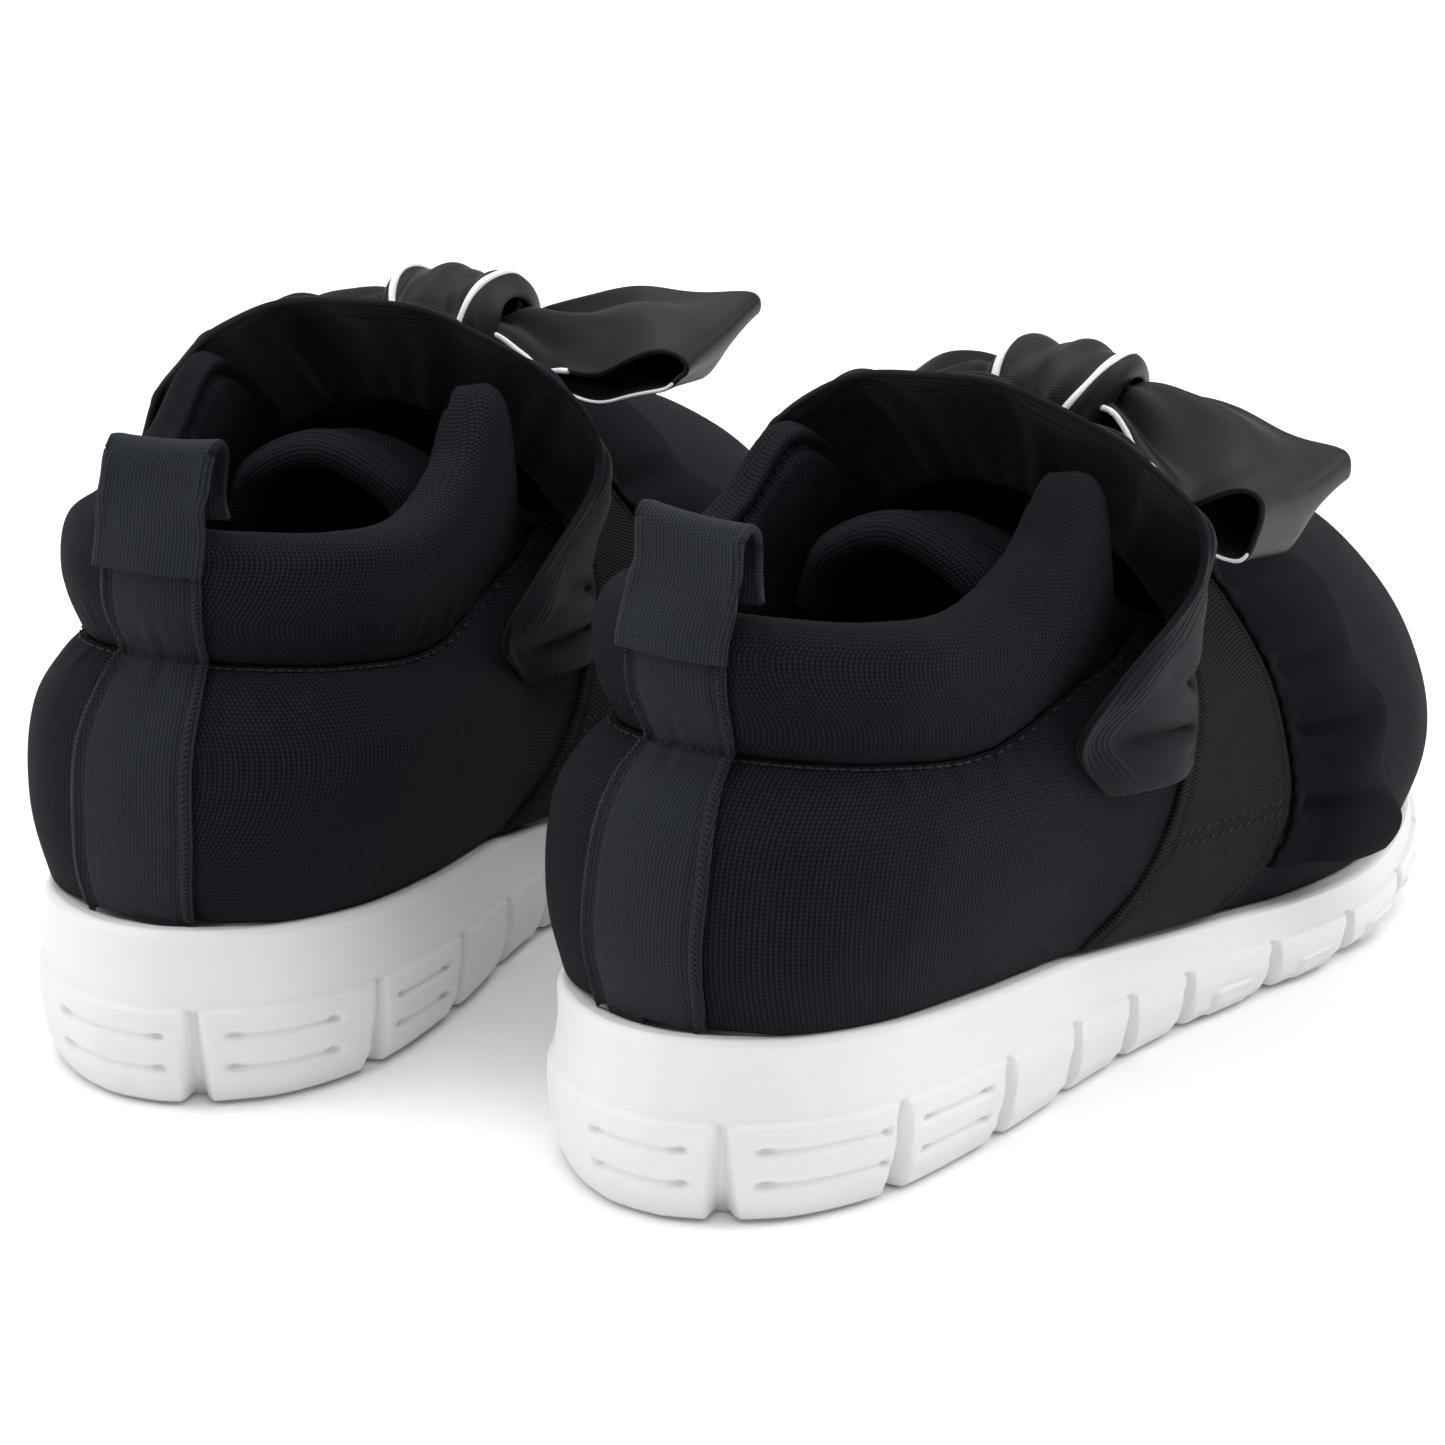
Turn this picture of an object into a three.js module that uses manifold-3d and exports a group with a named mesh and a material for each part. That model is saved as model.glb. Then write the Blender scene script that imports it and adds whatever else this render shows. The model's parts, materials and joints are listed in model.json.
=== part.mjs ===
// A pair of slip-on sneakers with a padded collar, a ribbed instep strap, two ruffles and a bow.
// Millimetres, +Z up. One shoe is modelled with x to its outer side, y from heel to toe and z = 0
// on the ground; the pair is that shoe and its mirror image, turned out a little at the toes. Only
// the notch in the heel and the inner wing of the bow differ: the right shoe's wing hangs lower.
// Origin of the pair: ground level, at the centre of the bounding box.
import * as THREE from 'three';
import { mergeVertices } from 'three/addons/utils/BufferGeometryUtils.js';
import Module from 'manifold-3d';

const wasm = await Module();
wasm.setup();

// ---- driving dimensions ----
const SOLE_LENGTH = 225;
const HEEL_SPACING = 93.2; // between the two heels' centre lines
const LEFT_SETBACK = 3.6; // the left shoe stands this far behind the right one
const TOE_OUT = THREE.MathUtils.degToRad(5);
const CLEARANCE = 0.4; // between neighbouring pieces

const FLEX_LINE = 157; // the ball of the foot, where the sole bends
const PAD_THICKNESS = 2.2; // rubber outsole pads
const PAD_INSET = 5;
const TOE_SPRING = 15; // rise of the sole at its tip
const SPRING_START = 149;
const GROOVE_WIDTH = [2.4, 4.4]; // flex groove, at its top and at the ground
const SIDE_GROOVES = [29, 56, 77, 95]; // notches between the heel lugs
const HEEL_GROOVE_X = { right: 14, left: -11 }; // the notch in the heel lies to the right on both
const CROSS_GROOVES = [112, 136, 179, 198]; // grooves right across the forefoot
const SIDE_GROOVE_DEPTH = 8;

const UPPER_THICKNESS = 2.2; // bonded knit over foam
const COUNTER_LAYER = [-3.2, -4.1]; // heel counter and toe puff, inside the upper
const LINING_LAYER = [-4.8, -5.6];
const STRAP_LAYER = [2.5, 1.4];
const TAPE_LAYER = [1.6, 0.6];
const COLLAR_COVER = 1.6;
const BOARD_THICKNESS = 1.5;
const INSOLE_THICKNESS = 4;
const FOOTBED_INSET = 10.5;
const FOOTBED_BACK = 13;
const RUFFLE_THICKNESS = 1.4;
const RIBBON_THICKNESS = 1.2;
const TONGUE_THICKNESS = 4;

const LOOP_WIDTH = 20; // pull loop, as wide as the heel tape
const LOOP_PIVOT = [19.5, 95.2]; // y, z
const LOOP_HEIGHT = 16.3;

// Stations round the shoe: 0 is the back of the heel, 5 and 6 are the strap's two edges, 12 is the
// toe tip. Each guide gives one half of a line round the upper; the other half mirrors it.
const TIP = 12;
const STRAP_REAR = 5;
const STRAP_FRONT = 6;
const RIM = [
  [0, 5.5, 31.5], [19, 10.5, 31], [28, 27, 29.5], [30, 50, 27.3], [29.6, 68, 25.4], [29.5, 80, 24.2],
  [32.5, 123, 18], [37.5, 146, 15.6], [40.5, 168, 15.4], [39, 187, 16.6], [30.5, 205, 18.6],
  [17, 216.5, 20.4], [0, 220.5, 21],
];
const LOW = [
  [0, 4.4, 43], [20.5, 10, 44], [31.5, 27, 45], [34.5, 50.5, 43], [34.5, 75, 41], [35, 91, 37],
  [37.5, 137, 31], [42, 153, 30], [44.5, 172, 30], [42.5, 190, 30.5], [33.5, 208, 31.5],
  [19, 219, 32.5], [0, 223, 33],
];
const MID = [
  [0, 7, 60], [20, 12.5, 60], [31.5, 29, 59], [35, 51.5, 57], [35.5, 80, 56], [35.5, 101, 53],
  [37, 136, 48], [41.5, 153, 46], [42.5, 171, 46], [40, 189, 45.5], [31.5, 206, 45],
  [18, 217, 45], [0, 221, 45],
];
const SEAM = [
  [0, 14.4, 73], [16.5, 19, 72.5], [27, 33, 70], [31.5, 53, 67.5], [32.5, 82, 70], [33, 104, 69],
  [33.5, 130, 64], [35, 148, 62.5], [35, 167, 61], [33, 185, 59.5], [26, 202, 57.5],
  [15, 212.5, 56], [0, 216.5, 55],
];
const ROLL = [
  [0, 15, 84], [16.5, 19.5, 84], [27.5, 33, 82], [31, 55, 81], [26, 86, 84], [21.5, 101, 86],
  [21.5, 124, 81], [21, 142, 78.5], [21, 161, 76], [19.5, 179, 73], [15.5, 196, 69.5],
  [9, 206, 66], [0, 210.5, 63.5],
];
const CREST = [
  [0, 19, 92.5], [13, 23.5, 92], [22.5, 34, 90.5], [26, 55, 90], [10, 86, 97], [0, 97, 95],
  [0, 120, 91], [0, 138, 88], [0, 156, 86], [0, 174, 82.5], [0, 190, 77], [0, 198, 72.5],
  [0, 203, 69.5],
];

// The collar is a padded C round the mouth. Stations 0 (heel) to 5 (its rounded front end).
const COLLAR_END = 5;
const COLLAR_OUTER = [
  [0, 14.4, 74], [16.5, 19, 73.5], [27, 33, 71], [31.5, 53, 69], [31.5, 72, 70.5], [30, 84, 76],
];
const COLLAR_OUTER_MID = [
  [0, 14, 84], [17, 18.5, 83.5], [28, 33, 81], [32, 52, 79], [32, 71, 84], [30.5, 83, 92],
];
const COLLAR_TOP = [
  [0, 19, 93.5], [13.5, 23.5, 93], [23, 34, 91.5], [27.5, 50, 90.5], [28, 67, 96.5], [26.5, 79, 106],
];
const COLLAR_INNER_MID = [
  [0, 24.5, 84], [11, 28.5, 84], [17.5, 37, 81], [22, 51, 79], [23, 68, 84], [22.5, 77, 92],
];
const COLLAR_INNER = [
  [0, 24, 72], [11.5, 27.5, 72], [18.5, 36, 70], [23.5, 51, 68.5], [24, 69, 70], [23.5, 80, 76],
];

const KNIT = { color: 0x14161d, roughness: 0.85, metalness: 0 };
const RIBBED = { color: 0x131313, roughness: 0.9, metalness: 0 };
const SATIN = { color: 0x121213, roughness: 0.6, metalness: 0 };
const LINING = { color: 0x0f1014, roughness: 0.95, metalness: 0 };
const EVA = { color: 0xf1f0ea, roughness: 0.6, metalness: 0 };
const RUBBER = { color: 0xe9e8e2, roughness: 0.7, metalness: 0 };
const BOARD = { color: 0xd8d2c4, roughness: 0.95, metalness: 0 };
const STIFFENER = { color: 0xc9c4b8, roughness: 0.8, metalness: 0 };
const FOAM = { color: 0x8f9094, roughness: 1, metalness: 0 };

// ---- small helpers ----
const { lerp, smoothstep, clamp } = THREE.MathUtils;

const point = (x, y, z) => new THREE.Vector3(x, y, z);

// The last bends to the outer side at the waist and back at the toe.
function swing(y) {
  const waist = 3 * Math.exp(-(((y - 100) / 42) ** 2));
  const toe = 1.3 * Math.exp(-(((y - 200) / 28) ** 2));
  return waist - toe;
}

const swung = (p) => point(p.x + swing(p.y), p.y, p.z);

// Height of the midsole's top along the shoe, and of its underside.
const TOP_LINE = new THREE.CatmullRomCurve3(
  [[0, 31], [20, 30], [50, 27], [80, 23.8], [120, 17.8], [160, 14.8], [190, 16.2], [225, 21]]
    .map(([y, z]) => point(0, y, z)));
const topLineSamples = TOP_LINE.getPoints(90);

function soleTop(y) {
  const after = topLineSamples.findIndex((p) => p.y >= y);
  if (after <= 0) return topLineSamples[0].z;
  const [a, b] = [topLineSamples[after - 1], topLineSamples[after]];
  return lerp(a.z, b.z, (y - a.y) / (b.y - a.y));
}

function groundLine(y) {
  const t = Math.max(0, (y - SPRING_START) / (SOLE_LENGTH - SPRING_START));
  return TOE_SPRING * t * t;
}

// Half width of the sole at its rim: the heel and toe close as rounded ends.
const SOLE_HALF_WIDTH = new THREE.CatmullRomCurve3(
  [[0, 2], [1, 6.8], [5.4, 15.3], [14.4, 24.3], [31.5, 30.8], [58.5, 32.2], [90, 30.6], [117, 33.3],
    [144, 39.6], [166.5, 42.8], [184.5, 41], [200, 35.6], [213, 26.1], [221, 14], [224, 6.8],
    [225, 2]].map(([y, w]) => point(w, y, 0)));
const widthSamples = SOLE_HALF_WIDTH.getPoints(240);

function soleHalfWidth(y) {
  const after = widthSamples.findIndex((p) => p.y >= y);
  if (after <= 0) return widthSamples[after === 0 ? 0 : widthSamples.length - 1].x;
  const [a, b] = [widthSamples[after - 1], widthSamples[after]];
  return lerp(a.x, b.x, (y - a.y) / (b.y - a.y));
}

// ---- mesh building ----

// A grid of triangles over point(a, b), a and b from 0 to 1. Its front faces da x db.
function sheet(pointAt, columns, rows) {
  const positions = [];
  const index = [];
  for (let i = 0; i <= columns; i++) {
    for (let j = 0; j <= rows; j++) positions.push(...pointAt(i / columns, j / rows).toArray());
  }
  for (let i = 0; i < columns; i++) {
    for (let j = 0; j < rows; j++) {
      const a = i * (rows + 1) + j;
      const b = a + rows + 1;
      index.push(a, b, b + 1, a, b + 1, a + 1);
    }
  }
  const geometry = new THREE.BufferGeometry();
  geometry.setAttribute('position', new THREE.Float32BufferAttribute(positions, 3));
  geometry.setIndex(index);
  return mergeVertices(geometry, 1e-3);
}

// Edges that only one triangle uses, each in that triangle's direction.
function openEdges(index) {
  const seen = new Map();
  for (let i = 0; i < index.length; i += 3) {
    for (let k = 0; k < 3; k++) {
      const edge = [index[i + k], index[i + ((k + 1) % 3)]];
      const key = `${Math.min(...edge)}_${Math.max(...edge)}`;
      if (seen.has(key)) seen.delete(key);
      else seen.set(key, edge);
    }
  }
  return [...seen.values()];
}

// A closed solid between two offsets of a surface, along its own normals.
function thicken(surface, outerOffset, innerOffset) {
  surface.computeVertexNormals();
  const base = surface.getAttribute('position');
  const normal = surface.getAttribute('normal');
  const count = base.count;
  const positions = [];
  for (const offset of [outerOffset, innerOffset]) {
    for (let i = 0; i < count; i++) {
      const p = new THREE.Vector3().fromBufferAttribute(base, i);
      const n = new THREE.Vector3().fromBufferAttribute(normal, i);
      positions.push(...p.addScaledVector(n, offset).toArray());
    }
  }
  const outer = Array.from(surface.getIndex().array);
  const index = [...outer];
  for (let i = 0; i < outer.length; i += 3) {
    index.push(outer[i] + count, outer[i + 2] + count, outer[i + 1] + count);
  }
  for (const [a, b] of openEdges(outer)) index.push(b, a, a + count, b, a + count, b + count);
  const solid = new THREE.BufferGeometry();
  solid.setAttribute('position', new THREE.Float32BufferAttribute(positions, 3));
  solid.setIndex(index);
  return solid;
}

// A closed solid through rings of points; rings turn counterclockwise seen from the last one.
function loftRings(rings) {
  const size = rings[0].length;
  const positions = rings.flatMap((ring) => ring.flatMap((p) => p.toArray()));
  const index = [];
  for (let r = 0; r + 1 < rings.length; r++) {
    for (let k = 0; k < size; k++) {
      const a = r * size + k;
      const b = r * size + ((k + 1) % size);
      index.push(a, b, b + size, a, b + size, a + size);
    }
  }
  const last = (rings.length - 1) * size;
  for (let k = 1; k + 1 < size; k++) {
    index.push(0, k + 1, k);
    index.push(last, last + k, last + k + 1);
  }
  const geometry = new THREE.BufferGeometry();
  geometry.setAttribute('position', new THREE.Float32BufferAttribute(positions, 3));
  geometry.setIndex(index);
  return geometry;
}

function toManifold(geometry) {
  const bare = geometry.clone();
  bare.deleteAttribute('normal');
  bare.deleteAttribute('uv');
  const welded = mergeVertices(bare, 1e-4);
  return new wasm.Manifold(new wasm.Mesh({
    numProp: 3,
    vertProperties: Float32Array.from(welded.getAttribute('position').array),
    triVerts: Uint32Array.from(welded.getIndex().array),
  }));
}

function fromManifold(solid) {
  const mesh = solid.getMesh();
  const geometry = new THREE.BufferGeometry();
  geometry.setAttribute('position', new THREE.Float32BufferAttribute(mesh.vertProperties, 3));
  geometry.setIndex(Array.from(mesh.triVerts));
  return geometry;
}

function cutAway(geometry, cutters) {
  return fromManifold(cutters.reduce((body, cutter) => body.subtract(toManifold(cutter)),
    toManifold(geometry)));
}

// ---- the upper's surface ----
const mirrored = ([x, y, z]) => point(-x, y, z);

function guide(half) {
  const lateral = half.map((p) => point(...p));
  const medial = half.slice(1, -1).reverse().map(mirrored);
  return new THREE.CatmullRomCurve3([...lateral, ...medial], true, 'centripetal');
}

const UPPER_GUIDES = [RIM, LOW, MID, SEAM, ROLL, CREST].map(guide);
const bandCache = new Map();

// The line over the shoe at one station, from the lateral rim across to the medial rim.
function band(station) {
  const key = station.toFixed(4);
  if (!bandCache.has(key)) {
    const u = clamp(station, 0, TIP) / (2 * TIP);
    const lateral = UPPER_GUIDES.map((g) => g.getPoint(u));
    const medial = lateral.slice(0, -1).reverse().map((p) => point(-p.x, p.y, p.z));
    bandCache.set(key, new THREE.CatmullRomCurve3([...lateral, ...medial], false, 'catmullrom', 0.5));
  }
  return bandCache.get(key);
}

// across = 0 at the lateral rim, 0.5 on the crest, 1 at the medial rim
const overShoe = (station, across) => swung(band(station).getPoint(across));

// station runs from -12 (toe, medial) through 0 (heel) to 12 (toe, lateral); up = 1 on the crest
function roundShoe(station, up) {
  return overShoe(Math.abs(station), station < 0 ? 1 - up / 2 : up / 2);
}

function upperNormal(station, across) {
  const step = 0.01;
  const along = overShoe(station + step, across).sub(overShoe(station - step, across));
  const over = overShoe(station, Math.min(1, across + step))
    .sub(overShoe(station, Math.max(0, across - step)));
  return along.cross(over).normalize();
}

const SEAM_UP = 0.6; // where the quarters meet the collar

function quarter(side) {
  const [from, to] = side > 0 ? [0.03, 5.3] : [-5.3, -0.03];
  const surface = sheet((a, b) => roundShoe(lerp(from, to, a), b * (SEAM_UP - 0.012)), 11, 5);
  return thicken(surface, 0, -UPPER_THICKNESS);
}

const GORE = { from: 5.36, to: 5.94, top: 0.2 }; // elastic side piece under the strap's lower end

function gore(side) {
  const [from, to] = side > 0 ? [GORE.from, GORE.to] : [-GORE.to, -GORE.from];
  return thicken(sheet((a, b) => roundShoe(lerp(from, to, a), b * GORE.top), 2, 2),
    0, -UPPER_THICKNESS);
}

// Rear edge of the vamp: in front of the gore at the sides, further back over the instep.
function vampStart(across) {
  const up = 1 - Math.abs(across - 0.5) * 2;
  return lerp(6, GORE.from + 0.04, smoothstep(up, GORE.top + 0.05, 0.5));
}

function vamp() {
  const surface = sheet((a, b) => overShoe(lerp(vampStart(b), TIP, a ** 0.9), b), 11, 14);
  return thicken(surface, 0, -UPPER_THICKNESS);
}

// How far the inner layers reach, in stations.
const PUFF_START = 9.2;
const COUNTER_REACH = 2.8;
const QUARTER_LINING_REACH = 5.2;
const VAMP_LINING_START = 6.1;

function toePuff() {
  const surface = sheet((a, b) => overShoe(lerp(PUFF_START, TIP, a), lerp(0.03, 0.97, b)), 5, 12);
  return thicken(surface, ...COUNTER_LAYER);
}

function heelCounter() {
  const surface = sheet((a, b) => roundShoe(lerp(-COUNTER_REACH, COUNTER_REACH, a), lerp(0.03, 0.5, b)),
    10, 3);
  return thicken(surface, ...COUNTER_LAYER);
}

function quarterLining() {
  const reach = QUARTER_LINING_REACH;
  const surface = sheet((a, b) => roundShoe(lerp(-reach, reach, a), lerp(0.02, 0.5, b)), 18, 3);
  return thicken(surface, ...LINING_LAYER);
}

function vampLining() {
  const surface = sheet(
    (a, b) => overShoe(lerp(VAMP_LINING_START, TIP, a ** 0.9), lerp(0.02, 0.98, b)), 9, 12);
  return thicken(surface, ...LINING_LAYER);
}

const TAPE_HALF_WIDTH = 0.5; // in stations
const TAPE_ON_QUARTER = 0.61; // share of its length below the collar seam

function heelTape() {
  const surface = sheet((a, b) => {
    const station = lerp(-TAPE_HALF_WIDTH, TAPE_HALF_WIDTH, a);
    if (b <= TAPE_ON_QUARTER) return roundShoe(station, b * SEAM_UP / TAPE_ON_QUARTER);
    return collarPoint(station, b - TAPE_ON_QUARTER);
  }, 2, 9);
  return thicken(surface, ...TAPE_LAYER);
}

function strap() {
  const surface = sheet(
    (a, b) => overShoe(lerp(STRAP_REAR, STRAP_FRONT, a), lerp(0.01, 0.99, b)), 3, 24);
  return thicken(surface, ...STRAP_LAYER);
}

// ---- collar ----
function collarGuide(half) {
  const medial = half.slice(1).reverse().map(mirrored);
  return new THREE.CatmullRomCurve3([...medial, ...half.map((p) => point(...p))], false, 'centripetal');
}

const COLLAR_GUIDES = [COLLAR_OUTER, COLLAR_OUTER_MID, COLLAR_TOP, COLLAR_INNER_MID, COLLAR_INNER]
  .map(collarGuide);

// around = 0 at the outer seam, 0.5 on top, 1 at the inner edge
function collarPoint(station, around) {
  const u = (station + COLLAR_END) / (2 * COLLAR_END);
  const section = new THREE.CatmullRomCurve3(COLLAR_GUIDES.map((g) => g.getPoint(u)));
  return swung(section.getPoint(around));
}

const collarStation = (a) => lerp(-COLLAR_END, COLLAR_END, a);

function collarCover() {
  return thicken(sheet((a, b) => collarPoint(collarStation(a), b), 16, 8), 0, -COLLAR_COVER);
}

const FOAM_STATIONS = 16;
const FOAM_SIDES = 8;
const FOAM_SPAN = [0.05, 0.95]; // how far it reaches along the collar
const FOAM_AROUND = [0.1, 0.9]; // and round its section
const FOAM_SIDE_INSET = 2.6; // from the cover's outer face, at the sides
const FOAM_TOP_INSET = 3.6; // and on top

// The foam fills the cover's hollow: both sides of a section move in towards its middle line.
function collarFoam() {
  const rings = [];
  for (let i = 0; i <= FOAM_STATIONS; i++) {
    const station = collarStation(lerp(...FOAM_SPAN, i / FOAM_STATIONS));
    const ring = [];
    for (let j = FOAM_SIDES; j >= 0; j--) {
      const around = lerp(...FOAM_AROUND, j / FOAM_SIDES);
      const here = collarPoint(station, around);
      const facing = collarPoint(station, 1 - around);
      const reach = Math.max(here.distanceTo(facing) / 2, 1e-6);
      const middle = here.clone().add(facing).multiplyScalar(0.5);
      const kept = Math.max(1 - FOAM_SIDE_INSET / reach, 0.4);
      const p = middle.lerp(here, kept);
      ring.push(point(p.x, p.y, p.z - FOAM_TOP_INSET * Math.sin(Math.PI * around)));
    }
    rings.push(ring);
  }
  return loftRings(rings);
}

// ---- tongue ----
const TONGUE_ARCHES = [
  [[20.5, 74, 78], [15, 73, 89], [0, 72, 95.5]],
  [[20.5, 88, 76], [15, 88, 87], [0, 88, 92]],
  [[19, 102, 70], [14, 103, 81], [0, 104, 86]],
  [[18, 116, 64], [13, 117, 75], [0, 118, 80]],
];

function tongue() {
  const arches = TONGUE_ARCHES.map((half) => new THREE.CatmullRomCurve3(
    [...half.map((p) => point(...p)), ...half.slice(0, -1).reverse().map(mirrored)]));
  const surface = sheet((a, b) => {
    const along = new THREE.CatmullRomCurve3(arches.map((arch) => arch.getPoint(b)));
    return swung(along.getPoint(a));
  }, 3, 8);
  return thicken(surface, 0, -TONGUE_THICKNESS);
}

// ---- ruffles ----
const RUFFLE_LIFT = 3.2; // the sewn edge stands this far off the upper

function wave(across, count) {
  return Math.cos(across * count * 2 * Math.PI);
}

// Free edge of the rear ruffle, half of it, from the low corner up to the centre.
const REAR_RUFFLE_EDGE = [
  [38.5, 80, 56], [39, 71, 66], [42, 75, 76], [45, 88, 88], [43, 91, 98], [36, 88, 106],
  [27, 84, 112.5], [14, 81, 118], [0, 79, 119.5],
];

function rearRuffle() {
  const half = REAR_RUFFLE_EDGE.map((p) => point(...p));
  const other = REAR_RUFFLE_EDGE.slice(0, -1).reverse().map(mirrored);
  const edge = new THREE.CatmullRomCurve3([...half, ...other], false, 'centripetal');
  const surface = sheet((a, b) => {
    const across = lerp(0.2, 0.8, b);
    const sewn = overShoe(STRAP_REAR - 0.1, across)
      .addScaledVector(upperNormal(STRAP_REAR - 0.1, across), RUFFLE_LIFT);
    const free = swung(edge.getPoint(b));
    const bulge = upperNormal(STRAP_REAR - 0.1, across).multiplyScalar(4 * Math.sin(Math.PI * a));
    return free.lerp(sewn, a).add(bulge);
  }, 3, 22);
  return thicken(surface, RUFFLE_THICKNESS / 2, -RUFFLE_THICKNESS / 2);
}

function frontRuffle() {
  const surface = sheet((a, b) => {
    const across = lerp(0.06, 0.94, b);
    const station = lerp(STRAP_FRONT + 0.1, STRAP_FRONT + 1.75, a);
    const lift = RUFFLE_LIFT + a * (4 + 2.2 * wave(b, 5));
    return overShoe(station, across).addScaledVector(upperNormal(station, across), lift);
  }, 3, 26);
  return thicken(surface, RUFFLE_THICKNESS / 2, -RUFFLE_THICKNESS / 2);
}

// ---- bow ----
const BOW_Y = 124;
const BOW_Z = 103.5;
const KNOT_HALF_WIDTH = 11;
// One ribbon loop seen along the shoe: x out from the middle, z from the bow's centre.
const WING_LOOP = [
  [12, 3], [23, 7.5], [38, 9.5], [49, 7], [53, 0], [49, -7], [38, -8.5], [23, -5.5], [12, -3.5],
];
const WING_HALF_DEPTH = [8, 16]; // at the knot and at the tip, along the shoe
const WING_DROOP = { // height of the tips against the knot
  right: { lateral: -11, medial: -14 },
  left: { lateral: -11, medial: 3 },
};
const WING_SHARE = { lateral: 0.86, medial: 1 }; // how much of its full reach each wing has

function bowWing(side, droop, share) {
  const loop = new THREE.CatmullRomCurve3(WING_LOOP.map(([x, z]) => point(x, 0, z)), false);
  const surface = sheet((a, b) => {
    const p = loop.getPoint(a);
    const depth = lerp(...WING_HALF_DEPTH, smoothstep(p.x, 12, 46));
    const y = BOW_Y + lerp(-depth, depth, side > 0 ? b : 1 - b);
    const fall = droop * smoothstep(p.x, 12, 53);
    const x = lerp(WING_LOOP[0][0], p.x, share);
    return point(side * x + swing(BOW_Y), y, BOW_Z + p.z + fall);
  }, 12, 2);
  return thicken(surface, RIBBON_THICKNESS / 2, -RIBBON_THICKNESS / 2);
}

function bowKnot() {
  const rings = [];
  for (let i = 0; i <= 6; i++) {
    const x = lerp(-KNOT_HALF_WIDTH, KNOT_HALF_WIDTH, i / 6);
    const swell = 1 + 0.12 * Math.cos(x / KNOT_HALF_WIDTH * Math.PI / 2);
    const ring = [];
    for (let k = 0; k < 10; k++) {
      const angle = k / 10 * 2 * Math.PI;
      ring.push(point(x + swing(BOW_Y), BOW_Y + 11.5 * swell * Math.cos(angle),
        BOW_Z + 0.5 + 8.2 * swell * Math.sin(angle)));
    }
    rings.push(ring);
  }
  return loftRings(rings);
}

// ---- pull loop ----
function pullLoop() {
  const [y, z] = LOOP_PIVOT;
  const outline = new THREE.Shape();
  outline.moveTo(-1.4, 0);
  outline.bezierCurveTo(-3.5, 4, -5, 6, -5, LOOP_HEIGHT - 4.5);
  outline.bezierCurveTo(-5, LOOP_HEIGHT + 1.4, 5, LOOP_HEIGHT + 1.4, 5, LOOP_HEIGHT - 4.5);
  outline.bezierCurveTo(5, 6, 3.5, 4, 1.4, 0);
  const gap = new THREE.Path();
  gap.moveTo(0, 3.2);
  gap.bezierCurveTo(2, 5, 3.7, 6.5, 3.7, LOOP_HEIGHT - 4.8);
  gap.bezierCurveTo(3.7, LOOP_HEIGHT - 0.6, -3.7, LOOP_HEIGHT - 0.6, -3.7, LOOP_HEIGHT - 4.8);
  gap.bezierCurveTo(-3.7, 6.5, -2, 5, 0, 3.2);
  outline.holes.push(gap);
  const geometry = new THREE.ExtrudeGeometry(outline,
    { depth: LOOP_WIDTH, bevelEnabled: false, curveSegments: 6 });
  geometry.translate(0, 0, -LOOP_WIDTH / 2);
  geometry.rotateX(Math.PI / 2);
  geometry.rotateZ(Math.PI / 2);
  geometry.translate(swing(y), y, z);
  return geometry;
}

// ---- sole ----

// Cross-section of a slab between two heights: a bevelled rectangle, counterclockwise seen from +y.
function slabRing(y, halfWidth, low, high, bevel) {
  const b = Math.min(bevel, halfWidth * 0.4);
  const h = Math.min(bevel, (high - low) * 0.3);
  const corners = [
    [-halfWidth + b, low], [-halfWidth, low + h], [-halfWidth, high - h], [-halfWidth + b, high],
    [0, high], [halfWidth - b, high], [halfWidth, high - h], [halfWidth, low + h],
    [halfWidth - b, low], [0, low],
  ];
  return corners.map(([x, z]) => point(x + swing(y), y, z));
}

// Stations along a stretch of the sole, closer together at its round ends.
function stretch(from, to, count) {
  return Array.from({ length: count + 1 }, (_, i) => {
    const t = i / count;
    return lerp(from, to, 0.5 - 0.5 * Math.cos(Math.PI * t));
  });
}

const HEEL_ROUNDING = 12; // length of the round end of an inset slab
const TOE_ROUNDING = 14;

// 0 at the end of a round end of that length, 1 past it
function rounding(distance, length) {
  return Math.sqrt(1 - (1 - clamp(distance / length, 0, 1)) ** 2);
}

function slab(from, to, inset, low, high, bevel, count) {
  const rings = stretch(from, to, count).map((y) => {
    const ends = inset > 0
      ? Math.min(rounding(y - inset, HEEL_ROUNDING),
        rounding(SOLE_LENGTH - inset - y, TOE_ROUNDING))
      : 1;
    const width = Math.max(2, (soleHalfWidth(y) - inset) * ends);
    return slabRing(y, width, low(y), high(y), bevel);
  });
  return loftRings(rings);
}

const midsoleLow = (y) => groundLine(y) + PAD_THICKNESS + CLEARANCE;

// A wedge-shaped groove, open to the ground, between two x positions.
function groove(y, xFrom, xTo, roof) {
  const [top, bottom] = GROOVE_WIDTH;
  const low = groundLine(y) - 3;
  const profile = new THREE.Shape([
    new THREE.Vector2(-bottom / 2, low), new THREE.Vector2(bottom / 2, low),
    new THREE.Vector2(top / 2, roof), new THREE.Vector2(-top / 2, roof),
  ]);
  const geometry = new THREE.ExtrudeGeometry(profile, { depth: xTo - xFrom, bevelEnabled: false });
  geometry.rotateX(Math.PI / 2);
  geometry.rotateZ(Math.PI / 2);
  geometry.translate(xFrom, y, 0);
  return geometry;
}

const FAR = 70; // beyond the sole's side
const grooveRoof = (y) => lerp(17, 9, clamp(y / 110, 0, 1)) + groundLine(y);

function sideGrooves() {
  return SIDE_GROOVES.flatMap((y) => {
    const inner = soleHalfWidth(y) - SIDE_GROOVE_DEPTH;
    return [groove(y, inner + swing(y), FAR, grooveRoof(y)),
      groove(y, -FAR, -inner + swing(y), grooveRoof(y))];
  });
}

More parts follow.
